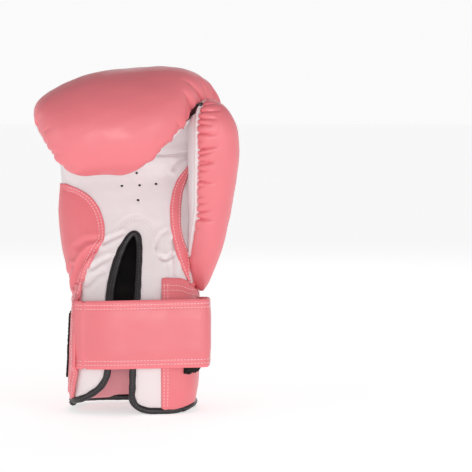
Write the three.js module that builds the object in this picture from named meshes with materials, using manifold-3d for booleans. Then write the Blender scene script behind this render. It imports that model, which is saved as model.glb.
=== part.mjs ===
// A right-hand training boxing glove: padded fist, thumb, palm with a laced-style slit, cuff and
// a hook-and-loop wrist strap. Units are millimetres. +Z runs from the cuff's hem to the knuckles,
// +Y points out of the back of the hand, -Y out of the palm, and +X to the thumb's side.
// The origin is the centre of the base that the cuff stands on.
import * as THREE from "three";
import { mergeVertices } from "three/addons/utils/BufferGeometryUtils.js";
import Module from "manifold-3d";

const wasm = await Module();
wasm.setup();

// ---------------------------------------------------------------- driving dimensions
const SKIN = 1.3; // coated leather
const GAP = 0.6; // clearance between neighbouring layers
const LINING = 0.9; // fabric lining of the hand compartment
const EDGE_ANGLE = 0.012; // half of the seam gap, as a section angle
const WRIST_Z = 99; // where the cuff meets the hand
const SPLIT_Z = 207; // crease at the base of the fingers, where the fist starts to curl
const CURL_Y = -8; // centre of the curl of the fist
const CURL_RADIUS = 35; // radius of the side seam round the curl
const FIST_END = 199; // degrees of curl at the fingertip end of the pad
const BINDING_R = 2.3; // bias binding on the slit and the hem
const BINDING_DEPTH = 1.1; // its centre, under the outer surface
const HEM_Z = 2.7; // height of the hem binding's centre
const STRAP_T = 2.6; // strap: two layers of leather round a web
const STRAP_Z = [41, 93]; // lower and upper edge of the strap at the front
const STRAP_DROP = [2.5, 0, 6, 13]; // how far it drops at its root, its two bends and its tip
const LOOP_Z = [28, 79]; // lower and upper edge of the loop tape on the back, 50 mm tape
const LOOP_RISE = 4; // how far it rises towards the thumb's side
const LOOP_T = 1.6;
const HOOK_T = 1.2;
const VENT_R = 1.5;
const FIST_HINGE = [62, 205]; // y and z of the crease over the knuckles that the fist bends at
const FIST_OPEN = 8; // degrees that the fist's padding opens by
const THUMB_HINGE = [50, 105]; // x and z of the thumb's root
const THUMB_OPEN = 4; // degrees that the thumb pulls away by
const CENTRE = [-0.92, 3.63, 0]; // moves the glove so that it stands over the origin

// The form of the hand along its station: the height up to SPLIT_Z, then SPLIT_Z plus the degrees
// of curl. left and right are the edges in x, base is the y of the side seam, out and in are how
// far the back and the palm stand off that seam, and power is how square the section is.
const FORM_ROWS = [
  // station, left, right, base, out, in, power
  [0, -54, 46, 4, 41, 40, 3.4],
  [20, -57, 50, 4, 44, 44, 3.6],
  [57, -55, 50.5, 5, 45, 46, 3.6],
  [88, -54, 50, 7, 43, 44, 3.4],
  [99, -52, 48, 10, 35, 42, 2.8],
  [112, -57, 51, 17, 35.5, 43, 2.7],
  [147, -62.5, 55, 24, 33, 35, 2.7],
  [190, -65, 58, 27, 31.5, 21, 2.7],
  [207, -66, 60, 27, 32, 20, 2.7],
  [252, -72, 68, 27, 35.5, 22, 2.7],
  [277, -76, 69, 27, 38.5, 22, 2.7],
  [297, -80, 63, 27, 40.5, 17.5, 2.7],
  [312, -81.5, 55, 27, 40, 12, 2.7],
  [332, -81, 44, 27, 36.5, 6.5, 2.7],
  [348, -78.5, 37.5, 27, 32.5, 5.5, 2.7],
  [362, -74.5, 30.5, 27, 29, 5, 2.7],
  [374, -70, 24, 27, 25, 4.5, 2.7],
  [384, -66, 17, 27, 21, 4, 2.7],
  [392, -62, 11, 27, 17, 4, 2.7],
  [400, -56, 4, 27, 11, 4, 2.7],
  [406, -48, -4, 27, 4, 3.5, 2.4],
];
const FORM_KEYS = ["station", "left", "right", "base", "out", "in", "power"];
const FORM = Object.fromEntries(FORM_KEYS.map((key, i) => [key, FORM_ROWS.map((row) => row[i])]));
// How much wall stands between the form and the room inside it.
const WALLS = {
  station: [0, 57, 92, 106, 120, 147, 190, 207, 252, 297, 335],
  back: [9, 9, 9.5, 14, 21, 25, 22, 22, 24, 28, 26],
  palm: [5, 5, 5.6, 5.6, 5.4, 5.5, 6, 9, 16, 15, 9],
  side: [8.5, 8.5, 8.5, 10, 12, 13, 13, 14, 15, 16, 20],
};
// The thumb: centre and half sizes of its sections, from the root up.
const THUMB = {
  z: [101, 115, 135, 160, 185, 210, 230, 243, 250, 253.5],
  x: [52.5, 55, 57.5, 59.5, 61, 62.5, 62, 60.5, 59.5, 58.5],
  y: [12, 10, 6, -2, -9, -15, -19.5, -21.5, -22, -22],
  halfX: [6.5, 11, 13.5, 17, 19.5, 21, 20, 16, 10, 3],
  halfY: [8, 13, 17, 20.5, 22, 22, 20.5, 16, 10, 3],
};
const THUMB_SEAM_FRONT = 232; // degrees round the thumb's section, from +X
const THUMB_SEAM_BACK = 128;

// ---------------------------------------------------------------- helpers
const rad = (degrees) => (degrees * Math.PI) / 180;
const lerp = THREE.MathUtils.lerp;

// Monotone cubic through a table's points, so that the form has no ripples between its stations.
function smooth(xs, ys, x) {
  const last = xs.length - 1;
  if (x <= xs[0]) return ys[0];
  if (x >= xs[last]) return ys[last];
  const i = xs.findIndex((v) => v > x) - 1;
  const slope = (k) => (ys[k + 1] - ys[k]) / (xs[k + 1] - xs[k]);
  const tangent = (k) => {
    if (k === 0) return slope(0);
    if (k === last) return slope(last - 1);
    const a = slope(k - 1);
    const b = slope(k);
    return a * b <= 0 ? 0 : (2 * a * b) / (a + b);
  };
  const h = xs[i + 1] - xs[i];
  const t = (x - xs[i]) / h;
  return (
    ys[i] * (1 + 2 * t) * (1 - t) ** 2 +
    h * tangent(i) * t * (1 - t) ** 2 +
    ys[i + 1] * t * t * (3 - 2 * t) +
    h * tangent(i + 1) * t * t * (t - 1)
  );
}

const form = (key, station) => smooth(FORM.station, FORM[key], station);
const wall = (key, station) => smooth(WALLS.station, WALLS[key], station);

// A point of a superellipse with its outward normal: halfX across, out on the positive side of
// the second axis and into on the negative side.
function superPoint(angle, halfX, out, into, power) {
  const c = Math.cos(angle);
  const s = Math.sin(angle);
  const halfN = s >= 0 ? out : into;
  const u = Math.sign(c) * Math.abs(c) ** (2 / power);
  const v = Math.sign(s) * Math.abs(s) ** (2 / power);
  const normal = new THREE.Vector2(
    (Math.sign(u) * Math.abs(u) ** (power - 1)) / halfX,
    (Math.sign(v) * Math.abs(v) ** (power - 1)) / halfN,
  ).normalize();
  return { across: u * halfX, off: v * halfN, normal };
}

// Puts a point of the section plane at a station into space: across is x, off is the distance
// from the side seam, outwards.
function place(station, across, off) {
  if (station <= SPLIT_Z) return new THREE.Vector3(across, form("base", station) + off, station);
  const turn = rad(station - SPLIT_Z);
  const radius = CURL_RADIUS + off;
  const lean = 0.1 * Math.sin(Math.min(turn, Math.PI)) ** 2 * Math.min(1, radius / 60);
  const slant = lean * (across - 15);
  return new THREE.Vector3(
    across,
    CURL_Y + radius * Math.cos(turn),
    SPLIT_Z + radius * Math.sin(turn) + slant,
  );
}

// The glove's outer surface at a station and a section angle (0 at the thumb's side, 90 at the
// back, 180 at the little finger's side, 270 at the palm), and depth millimetres inside it.
function surface(station, angle, depth = 0) {
  const left = form("left", station);
  const right = form("right", station);
  const half = (right - left) / 2;
  const p = superPoint(angle, half, form("out", station), form("in", station), form("power", station));
  const across = (left + right) / 2 + p.across - p.normal.x * depth;
  return place(station, across, p.off - p.normal.y * depth);
}

// The wall of the room for the hand and fingers, grown outwards by grow.
function room(station, angle, grow = 0) {
  const left = form("left", station) + wall("side", station);
  const right = form("right", station) - wall("side", station);
  const out = form("out", station) - wall("back", station);
  const into = form("in", station) - wall("palm", station);
  const half = (out + into) / 2;
  const p = superPoint(angle, (right - left) / 2 + grow, half + grow, half + grow, 2.5);
  return place(station, (left + right) / 2 + p.across, (out - into) / 2 + p.off);
}

// The thumb's outer surface at a height and an angle from +X.
function thumbSkin(z, angle) {
  const at = (key) => smooth(THUMB.z, THUMB[key], z);
  const p = superPoint(angle, at("halfX"), at("halfY"), at("halfY"), 2.2);
  return new THREE.Vector3(at("x") + p.across, at("y") + p.off, z);
}

// A point depth millimetres inside that surface, square to it.
function thumbSurface(z, angle, depth = 0) {
  const step = 0.4;
  const above = Math.min(z + step, THUMB.z.at(-1));
  const below = Math.max(z - step, THUMB.z[0]);
  const up = thumbSkin(above, angle).sub(thumbSkin(below, angle));
  const round = thumbSkin(z, angle + 0.02).sub(thumbSkin(z, angle - 0.02));
  return thumbSkin(z, angle).addScaledVector(round.cross(up).normalize(), -depth);
}

// The section angle on the palm or the back at which the surface has the given x.
function angleAtX(station, x, palmSide) {
  const left = form("left", station);
  const right = form("right", station);
  const u = THREE.MathUtils.clamp((2 * x - left - right) / (right - left), -1, 1);
  const angle = Math.acos(Math.sign(u) * Math.abs(u) ** (form("power", station) / 2));
  return palmSide ? 2 * Math.PI - angle : angle;
}

const range = (from, to, steps) =>
  Array.from({ length: steps + 1 }, (_, i) => lerp(from, to, i / steps));

// A closed solid between two grids of points: outer(u, v) and inner(u, v), where us runs along the
// piece and vs across it. A closed one is a tube.
function sheet(us, vs, outer, inner, closed = false) {
  const columns = vs.length;
  const positions = [];
  for (const side of [outer, inner]) {
    for (const u of us) {
      for (const v of vs) positions.push(...side(u, v).toArray());
    }
  }
  const id = (side, i, j) => (side * us.length + i) * columns + (j % columns);
  const faces = [];
  const quad = (a, b, c, d) => faces.push(a, b, c, a, c, d);
  const spans = closed ? columns : columns - 1;
  for (let i = 0; i < us.length - 1; i++) {
    for (let j = 0; j < spans; j++) {
      quad(id(0, i, j), id(0, i + 1, j), id(0, i + 1, j + 1), id(0, i, j + 1));
      quad(id(1, i, j), id(1, i, j + 1), id(1, i + 1, j + 1), id(1, i + 1, j));
    }
    if (!closed) {
      quad(id(0, i, 0), id(1, i, 0), id(1, i + 1, 0), id(0, i + 1, 0));
      const last = columns - 1;
      quad(id(0, i, last), id(0, i + 1, last), id(1, i + 1, last), id(1, i, last));
    }
  }
  for (let j = 0; j < spans; j++) {
    const last = us.length - 1;
    quad(id(0, 0, j), id(0, 0, j + 1), id(1, 0, j + 1), id(1, 0, j));
    quad(id(0, last, j), id(1, last, j), id(1, last, j + 1), id(0, last, j + 1));
  }
  return facingOut(positions, faces);
}

// A solid lofted through closed rings of points, capped by a fan at each end.
function loft(rings) {
  const columns = rings[0].length;
  const positions = rings.flat().flatMap((p) => p.toArray());
  const faces = [];
  for (let i = 0; i < rings.length - 1; i++) {
    for (let j = 0; j < columns; j++) {
      const a = i * columns + j;
      const b = i * columns + ((j + 1) % columns);
      faces.push(a, b, b + columns, a, b + columns, a + columns);
    }
  }
  [0, rings.length - 1].forEach((ring, end) => {
    const centre = new THREE.Vector3();
    rings[ring].forEach((p) => centre.addScaledVector(p, 1 / columns));
    const tip = positions.length / 3;
    positions.push(...centre.toArray());
    for (let j = 0; j < columns; j++) {
      const a = ring * columns + j;
      const b = ring * columns + ((j + 1) % columns);
      faces.push(...(end ? [a, b, tip] : [b, a, tip]));
    }
  });
  return facingOut(positions, faces);
}

// An indexed geometry whose faces point out, whichever way its grid ran.
function facingOut(positions, faces) {
  let volume = 0;
  const corner = (k) => new THREE.Vector3().fromArray(positions, 3 * k);
  for (let i = 0; i < faces.length; i += 3) {
    volume += corner(faces[i]).dot(corner(faces[i + 1]).cross(corner(faces[i + 2])));
  }
  const ordered = volume < 0 ? faces.toReversed() : faces;
  const geometry = new THREE.BufferGeometry();
  geometry.setAttribute("position", new THREE.Float32BufferAttribute(positions, 3));
  return geometry.setIndex(ordered);
}

function toSolid(geometry) {
  const bare = geometry.clone();
  bare.deleteAttribute("normal");
  bare.deleteAttribute("uv");
  const merged = mergeVertices(bare, 1e-4);
  return new wasm.Manifold(
    new wasm.Mesh({
      numProp: 3,
      vertProperties: merged.attributes.position.array,
      triVerts: new Uint32Array(merged.index.array),
    }),
  );
}

function toGeometry(solid) {
  const mesh = solid.getMesh();
  const geometry = new THREE.BufferGeometry();
  geometry.setAttribute("position", new THREE.BufferAttribute(mesh.vertProperties, 3));
  return geometry.setIndex(new THREE.BufferAttribute(mesh.triVerts, 1));
}

// The geometry with the tools cut out of it; crumbs under 50 mm3 that a cut leaves are dropped.
function cut(geometry, ...tools) {
  let solid = toSolid(geometry);
  for (const tool of tools) solid = solid.subtract(toSolid(tool));
  const pieces = solid.decompose().sort((a, b) => b.volume() - a.volume());
  return toGeometry(pieces[0]);
}

// A round tube along a smooth curve through the points.
function tube(points, radius, steps, sides = 6) {
  const outline = new THREE.Shape();
  range(0, 2 * Math.PI, sides).slice(0, sides).forEach((a, i) => {
    const at = [radius * Math.cos(a), radius * Math.sin(a)];
    if (i) outline.lineTo(...at);
    else outline.moveTo(...at);
  });
  return new THREE.ExtrudeGeometry(outline, {
    steps,
    bevelEnabled: false,
    extrudePath: new THREE.CatmullRomCurve3(points, false, "centripetal"),
  });
}

// A prism along y from a closed outline of [x, z] points.
function prismY(outline, fromY, toY) {
  const shape = new THREE.Shape(outline.map(([x, z]) => new THREE.Vector2(x, z)));
  return new THREE.ExtrudeGeometry(shape, { depth: toY - fromY, bevelEnabled: false })
    .rotateX(Math.PI / 2)
    .translate(0, toY, 0);
}

// ---------------------------------------------------------------- materials
const paint = (color, roughness) => new THREE.MeshStandardMaterial({ color, roughness, metalness: 0 });
const pinkLeather = paint(0xee858b, 0.42);
const whiteLeather = paint(0xe9dfe0, 0.45);
const foam = paint(0xe8e2c9, 0.95);
const blackFabric = paint(0x141214, 0.9);
const blackBinding = paint(0x2a2428, 0.55);
const tape = paint(0x17120f, 1.0);

// ---------------------------------------------------------------- the slit and the hem
// The cut edge of the palm panel in the palm view, as [x, z]: up the little finger's side flap,
// round the top of the slit, down the thumb's side flap and round its lower corner.
const SLIT_EDGE = [
  [-55, 4.5], [-47, 10.5], [-38, 18], [-30, 27], [-24.5, 42], [-22, 62], [-20.5, 88], [-18.5, 108],
  [-14, 126], [-8, 140], [-3, 147.5], [1.5, 147], [4.2, 138], [5, 122], [3.5, 100], [0, 70],
  [-2.5, 45], [-2, 26], [2, 13], [9, 5.5], [19, HEM_Z], [30, HEM_Z], [40, HEM_Z],
];
const SLIT_STEPS = 36;
const onPalm = ([x, z], depth) => surface(z, angleAtX(z, x, true), depth);
const slitPath = SLIT_EDGE.map((p) => onPalm(p, BINDING_DEPTH));
// The outline of what the slit takes away, closed well below the hem.
const slitTool = prismY([...SLIT_EDGE, [70, HEM_Z], [70, -20], [-80, -20], [-80, 4.5]], -70, 3);
const hemAngles = range(angleAtX(HEM_Z, 41, true) - 2 * Math.PI, Math.PI - 0.02, 26);
const hemPath = hemAngles.map((a) => surface(HEM_Z, a, BINDING_DEPTH));
const slitRoom = tube(slitPath, BINDING_R + GAP, SLIT_STEPS);

// ---------------------------------------------------------------- thumb clearance
const ring = (count) => range(0, 2 * Math.PI, count).slice(0, count);
const THUMB_STATIONS = [101, 110, 124, 144, 166, 188, 210, 228, 241, 249, 252.5];
const thumbBlock = (grow) =>
  loft(
    THUMB_STATIONS.map((z) => ring(20).map((a) => thumbSurface(z, a, -grow))),
  );
const thumbRoom = thumbBlock(0.9);
// The way from the hand's room into the thumb: centre and radius of its rings.
const THUMB_WAY = [
  [26, 12, 118, 9], [34, 10, 130, 11], [44, 6, 146, 12], [54, 0, 162, 11.5], [60, -8, 182, 11.5],
  [62, -14, 206, 11], [61.5, -18, 226, 9], [61, -19, 236, 5],
];
const wayRing = ([x, y, z, r]) =>
  ring(10).map((a) => {
    const across = r * Math.cos(a);
    return new THREE.Vector3(x + across, y + 1.15 * r * Math.sin(a), z - 0.5 * across);
  });
const thumbWay = loft(THUMB_WAY.map(wayRing));
// A tool as the opening fist meets it, in steps, and as the thumb carries it outwards.
const SWEEP_STEPS = 6;
const sweptByFist = (tool) =>
  range(0, FIST_OPEN, SWEEP_STEPS).map((a) =>
    tool.clone().translate(0, -FIST_HINGE[0], -FIST_HINGE[1]).rotateX(rad(a)).translate(0, ...FIST_HINGE),
  );
const sweptByThumb = (tool) =>
  range(0, THUMB_OPEN, SWEEP_STEPS).map((a) => {
    const [x, z] = THUMB_HINGE;
    return tool.clone().translate(-x, 0, -z).rotateY(rad(a)).translate(x, 0, z);
  });
const fistThumbRoom = sweptByFist(thumbRoom);

// ---------------------------------------------------------------- pieces
const COLUMNS = 12; // faces across the back, and across the palm
const BACK = [EDGE_ANGLE, Math.PI - EDGE_ANGLE];
const PALM = [Math.PI + EDGE_ANGLE, 2 * Math.PI - EDGE_ANGLE];
const cuffStations = [HEM_Z + BINDING_R + 0.4, 22, 40, 60, 80, 90, WRIST_Z - 0.4];
const handStations = [WRIST_Z + 0.4, 108, 120, 134, 148, 162, 176, 190, SPLIT_Z - 0.6];
const palmStations = [...cuffStations, ...handStations];
const fistStations = range(SPLIT_Z + 0.6, SPLIT_Z + FIST_END, 14);
const fingerStations = fistStations.slice(0, 9);

// Skin on a stretch of the form.
const skinOf = (stations, [from, to]) =>
  sheet(stations, range(from, to, COLUMNS), (u, v) => surface(u, v), (u, v) => surface(u, v, SKIN));
// Foam between the skin and the lining.
const padOf = (stations, [from, to]) =>
  sheet(
    stations,
    range(from + EDGE_ANGLE, to - EDGE_ANGLE, COLUMNS),
    (u, v) => surface(u, v, SKIN + GAP),
    (u, v) => room(u, v, LINING + GAP),
  );
const liningOf = (stations) =>
  sheet(stations, ring(COLUMNS), (u, v) => room(u, v, LINING), (u, v) => room(u, v), true);

// The pink facings at the cuff's front corners; the strap's root is sewn to the left one.
const leftEdge = (z) => angleAtX(z, -47, true);
const rightEdge = (z) => angleAtX(z, 23, true);
const cuffSkin = sheet(
  cuffStations,
  range(0, 1, 24),
  (z, v) => surface(z, lerp(rightEdge(z) - 2 * Math.PI, leftEdge(z), v), 0),
  (z, v) => surface(z, lerp(rightEdge(z) - 2 * Math.PI, leftEdge(z), v), SKIN),
);
// The white palm panel runs under the facings and the side panel, one skin deeper.
const palmSkin = sheet(
  palmStations,
  range(...PALM, COLUMNS),
  (u, v) => surface(u, v, SKIN + GAP),
  (u, v) => surface(u, v, 2 * SKIN + GAP),
);
const palmFoam = sheet(
  handStations,
  range(PALM[0] + EDGE_ANGLE, PALM[1] - EDGE_ANGLE, COLUMNS),
  (u, v) => surface(u, v, 2 * SKIN + 2 * GAP),
  (u, v) => room(u, v, LINING + GAP),
);
const vents = [[-1, 194], [-13, 183], [1.5, 183], [15, 184], [1, 172]].map(([x, z]) =>
  new THREE.CylinderGeometry(VENT_R, VENT_R, 24, 8).translate(x, 6, z),
);
// The little finger's side panel: its free edge in the palm view, x at height z.
const SIDE_EDGE = {
  z: [98, 110, 128, 138, 150, 165, 178, 184, 186.5],
  x: [-45, -43, -34, -28, -26, -29, -38, -50, -60],
};
const sideAngle = (z, v) => lerp(PALM[0], angleAtX(z, smooth(SIDE_EDGE.z, SIDE_EDGE.x, z), true), v);
const sidePanel = sheet(
  [100, 106, 112, 120, 128, 138, 150, 160, 170, 178, 183, 186],
  range(0, 1, 10),
  (z, v) => surface(z, sideAngle(z, v), -0.3),
  (z, v) => surface(z, sideAngle(z, v), SKIN - 0.3),
);
// The crescent gusset between the palm and the thumb, 7 mm across its middle.
const GUSSET = { z: [112, 126, 142, 158, 174, 188, 198], x: [40, 33, 29, 28, 31, 36, 41] };
const gussetAngle = (z, v) => {
  const width = 7 * Math.sin((Math.PI * (z - 108)) / 94);
  return angleAtX(z, smooth(GUSSET.z, GUSSET.x, z) + width * v, true);
};
const gusset = sheet(
  GUSSET.z,
  range(0, 1, 5),
  (z, v) => surface(z, gussetAngle(z, v), -0.3),
  (z, v) => surface(z, gussetAngle(z, v), SKIN),
);

// The cuff's thin foam, a ring that the slit cuts open; the glove stands on its lower edge.
const cuffFoam = sheet(
  [0, ...cuffStations.slice(1)],
  ring(2 * COLUMNS),
  (z, a) => surface(z, a, 2 * SKIN + 2 * GAP),
  (z, a) => room(z, a, LINING + GAP),
  true,
);

// ---------------------------------------------------------------- strap
// The strap's middle line seen from above: sewn at the little finger's side, straight across the
// slit, round the thumb's side and along the back.
const STRAP_ROOT = new THREE.Vector2(-49, -33.5);
const STRAP_FRONT_Y = -44.6;
const STRAP_SIDE_X = 58;
const STRAP_BACK_Y = 55.4;
const FRONT_CORNER = 6; // radius of the bend at the front
const BACK_CORNER = 28; // radius of the bend at the back
const STRAP_TIP_X = -36;
// The strap line between two distances along it, as [x, y] points.
function strapLine() {
  const line = new THREE.CurvePath();
  const front = new THREE.Vector2(STRAP_SIDE_X - FRONT_CORNER, STRAP_FRONT_Y);
  const back = new THREE.Vector2(STRAP_SIDE_X - BACK_CORNER, STRAP_BACK_Y);
  const quarter = (x, y, r, from) => new THREE.EllipseCurve(x, y, r, r, from, from + Math.PI / 2);
  const frontBend = quarter(front.x, front.y + FRONT_CORNER, FRONT_CORNER, -Math.PI / 2);
  const backBend = quarter(back.x, back.y - BACK_CORNER, BACK_CORNER, 0);
  const flat = new THREE.Vector2(-14, STRAP_FRONT_Y);
  line.add(new THREE.QuadraticBezierCurve(STRAP_ROOT, new THREE.Vector2(-38, STRAP_FRONT_Y), flat));
  line.add(new THREE.LineCurve(flat, front));
  line.add(frontBend);
  line.add(new THREE.LineCurve(frontBend.getPoint(1), backBend.getPoint(0)));
  line.add(backBend);
  line.add(new THREE.LineCurve(back, new THREE.Vector2(STRAP_TIP_X, STRAP_BACK_Y)));
  const lengths = line.getCurveLengths();
  return {
    line,
    total: lengths.at(-1),
    frontBend: (lengths[1] + lengths[2]) / 2,
    backBend: (lengths[3] + lengths[4]) / 2,
  };
}
const strap = strapLine();
const strapDrop = (s) => smooth([0, strap.frontBend, strap.backBend, strap.total], STRAP_DROP, s);
const bandOf = (from, to, steps, [low, high], outside, inside) => {
  const at = (s, z, off) => {
    const p = strap.line.getPointAt(THREE.MathUtils.clamp(s / strap.total, 0, 1));
    const t = strap.line.getTangentAt(THREE.MathUtils.clamp(s / strap.total, 0, 1));
    return new THREE.Vector3(p.x + t.y * off, p.y - t.x * off, z - strapDrop(s));
  };
  const heights = range(low, high, 2);
  return sheet(range(from, to, steps), heights, (s, z) => at(s, z, outside), (s, z) => at(s, z, inside));
};
const strapPiece = (from, to, steps) => bandOf(from, to, steps, STRAP_Z, STRAP_T / 2, -STRAP_T / 2);
const ROOT_LENGTH = 4.5; // how much of the strap is sewn down at its root
const strapRoot = strapPiece(0, ROOT_LENGTH - 0.2, 2);
// The narrow tape sewn over the strap's root.
const rootTape = bandOf(0.4, ROOT_LENGTH - 0.6, 2, STRAP_Z, STRAP_T / 2 + 0.3 + SKIN, STRAP_T / 2 + 0.3);
const HOOK_Z = [STRAP_Z[0] + 2, STRAP_Z[1] - 2];
const HOOK_OFF = -STRAP_T / 2 - 0.3;
const hookPatch = bandOf(strap.total - 52, strap.total - 2, 8, HOOK_Z, HOOK_OFF, HOOK_OFF - HOOK_T);

// The loop tape lies on the cuff from the front of the thumb's side round the back.
const LOOP_ENDS = [angleAtX(50, 39, true) - 2 * Math.PI, Math.PI + 0.15];
const loopRise = (a) => LOOP_RISE * THREE.MathUtils.smoothstep(-a, -1.6, -LOOP_ENDS[0]);
const loopTape = sheet(
  range(...LOOP_ENDS, 24),
  range(LOOP_Z[0], LOOP_Z[1], 3),
  (a, z) => surface(z + loopRise(a), a, -0.3 - LOOP_T),
  (a, z) => surface(z + loopRise(a), a, -0.3),
);

// ---------------------------------------------------------------- fist and thumb details
const barAlongX = (fromX, toX, radius) =>
  new THREE.CylinderGeometry(radius, radius, toX - fromX, 12)
    .rotateZ(Math.PI / 2)
    .translate((fromX + toX) / 2, 7.4, 222.4);
const gripBar = barAlongX(-52, 42, 3.8);
const gripRoom = barAlongX(-90, 44, 4.3);
const tipStations = [fistStations[8] + 0.8, ...fistStations.slice(9)];
const fingertipPad = loft(tipStations.map((u) => ring(2 * COLUMNS).map((a) => surface(u, a, SKIN + GAP))));
const tieBox = (...size) =>
  new THREE.BoxGeometry(...size).rotateZ(0.35).rotateY(-0.35).translate(46.5, -27.5, 243);
const thumbTie = tieBox(12, 1.6, 9);
const tieRoom = tieBox(13.6, 3.6, 10.6);
const fistRoom = [...fistThumbRoom, ...sweptByFist(tieRoom), ...sweptByThumb(tieRoom)];
const thumbAngles = [rad(THUMB_SEAM_FRONT), rad(THUMB_SEAM_BACK + 360)];
const thumbShell = sheet(
  THUMB_STATIONS,
  range(thumbAngles[0], thumbAngles[1], 13),
  (z, a) => thumbSurface(z, a),
  (z, a) => thumbSurface(z, a, SKIN),
);
// The thumb's foam thins where its section narrows.
const thumbFoamT = (z) => Math.min(6.5, 0.4 * smooth(THUMB.z, THUMB.halfX, z));
const thumbPad = sheet(
  THUMB_STATIONS.slice(1, -1),
  range(thumbAngles[0] + 0.06, thumbAngles[1] - 0.06, 12),
  (z, a) => thumbSurface(z, a, SKIN + GAP),
  (z, a) => thumbSurface(z, a, SKIN + GAP + thumbFoamT(z)),
);
const thumbPanel = sheet(
  THUMB_STATIONS,
  range(rad(THUMB_SEAM_BACK) + 0.03, rad(THUMB_SEAM_FRONT) - 0.03, 7),
  (z, a) => thumbSurface(z, a),
  (z, a) => thumbSurface(z, a, SKIN),
);
// The puckered welt where the back pad is sewn down to the cuff.
const weltAngles = range(0.25, Math.PI + 0.1, 18);
const welt = tube(weltAngles.map((a) => surface(WRIST_Z, a, -1.6)), 2.2, 26);
const weltRoom = tube(weltAngles.map((a) => surface(WRIST_Z, a, -1.6)), 2.6, 26);

// ---------------------------------------------------------------- assembly
const glove = new THREE.Group();
glove.position.set(...CENTRE);
function add(name, geometry, material) {
  const mesh = new THREE.Mesh(geometry, material);
  mesh.name = name;
  glove.add(mesh);
}

// Hand and cuff
add("palm_panel", cut(palmSkin, slitTool, slitRoom, thumbRoom, ...vents), whiteLeather);
add("palm_foam", cut(palmFoam, slitTool, slitRoom, thumbRoom, thumbWay, ...vents), foam);
add("side_panel", cut(sidePanel, weltRoom), pinkLeather);
add("thumb_gusset", cut(gusset, thumbRoom), pinkLeather);
add("back_shell", cut(skinOf(handStations, BACK), thumbRoom, weltRoom), pinkLeather);
add("back_pad", cut(padOf(handStations, BACK), thumbRoom), foam);
add("hand_lining", cut(liningOf(handStations), slitTool, thumbRoom, thumbWay), blackFabric);
add("cuff_shell", cut(cuffSkin, slitRoom, weltRoom), pinkLeather);
add("cuff_foam", cut(cuffFoam, slitTool, slitRoom), foam);
add("cuff_lining", cut(liningOf(cuffStations), slitTool), pinkLeather);
add("slit_binding", tube(slitPath, BINDING_R, SLIT_STEPS), blackBinding);
add("hem_binding", tube(hemPath, BINDING_R, 24), blackBinding);
add("wrist_welt", cut(welt, thumbRoom), pinkLeather);
add("loop_tape", loopTape, tape);

// Fist
add("knuckle_shell", cut(skinOf(fistStations, BACK), ...fistRoom), pinkLeather);
add("knuckle_pad", cut(padOf(fingerStations, BACK), ...fistRoom), foam);
add("finger_panel", cut(skinOf(fistStations, PALM), ...fistRoom), whiteLeather);
add("finger_pad", cut(padOf(fingerStations, PALM), gripRoom, ...fistThumbRoom), foam);
add("fingertip_pad", cut(fingertipPad, ...fistRoom), foam);
add("finger_lining", liningOf(fingerStations), blackFabric);
add("grip_bar", gripBar, foam);

// Thumb
add("thumb_shell", cut(thumbShell, tieRoom), pinkLeather);
add("thumb_pad", thumbPad, foam);
add("thumb_panel", cut(thumbPanel, tieRoom, thumbWay), whiteLeather);
add("thumb_tie", thumbTie, blackBinding);

// Strap: its sewn root, and three lengths that meet at its bends
add("strap_root", strapRoot, pinkLeather);
add("root_tape", rootTape, pinkLeather);
add("strap_front", strapPiece(ROOT_LENGTH + 0.2, strap.frontBend - 0.2, 12), pinkLeather);
add("strap_side", strapPiece(strap.frontBend + 0.2, strap.backBend - 0.2, 12), pinkLeather);
add("strap_tip", strapPiece(strap.backBend + 0.2, strap.total, 12), pinkLeather);
add("hook_tape", hookPatch, tape);

const part = new THREE.Group();
part.add(glove);
export default part;
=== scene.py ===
"""The looks of a right-hand boxing glove: gathered leather pads, a slit palm, a cuff and a wrist strap.

Shapes are worked out in millimetres in the glove's own frame (+Z from the cuff to the knuckles, -Y out of
the palm, +X to the thumb's side) and are put into the scene in metres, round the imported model.
"""

import math

import bpy
import numpy as np
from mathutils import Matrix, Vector


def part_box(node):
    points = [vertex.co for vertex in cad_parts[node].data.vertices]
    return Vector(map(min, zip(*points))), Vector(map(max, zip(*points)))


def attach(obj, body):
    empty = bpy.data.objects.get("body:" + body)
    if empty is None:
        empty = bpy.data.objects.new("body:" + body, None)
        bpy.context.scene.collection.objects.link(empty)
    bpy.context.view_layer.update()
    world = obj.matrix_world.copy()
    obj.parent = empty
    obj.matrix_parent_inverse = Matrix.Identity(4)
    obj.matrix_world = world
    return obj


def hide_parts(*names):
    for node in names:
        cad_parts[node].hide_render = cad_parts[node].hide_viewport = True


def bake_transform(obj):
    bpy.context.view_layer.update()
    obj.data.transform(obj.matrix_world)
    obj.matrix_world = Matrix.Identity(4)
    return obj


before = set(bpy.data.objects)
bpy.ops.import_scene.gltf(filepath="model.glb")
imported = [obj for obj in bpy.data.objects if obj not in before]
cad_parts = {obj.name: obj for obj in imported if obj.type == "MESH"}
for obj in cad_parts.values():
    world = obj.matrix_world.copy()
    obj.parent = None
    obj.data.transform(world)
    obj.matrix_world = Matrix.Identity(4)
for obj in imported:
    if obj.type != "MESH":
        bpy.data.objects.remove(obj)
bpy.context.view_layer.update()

# ---------------- driving dimensions, millimetres
SPLIT = 207.0  # crease at the base of the fingers, where the fist starts to curl
TIP = 406.0  # the fingertip end: SPLIT plus the degrees of curl
CURL_Y = -8.0  # centre of the curl
CURL_R = 35.0  # radius of the side seam round the curl
SKIN = 1.4  # leather
BAND_T = 3.0  # strap
GRIP_BAR_AT = np.array([-5.0, 7.4, 222.4])  # middle of the grip bar in the glove's own frame

low, high = (np.array(corner) * 1000 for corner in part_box("grip_bar"))
CENTRE = (low + high) / 2 - GRIP_BAR_AT  # from the glove's own frame to the row's

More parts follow.
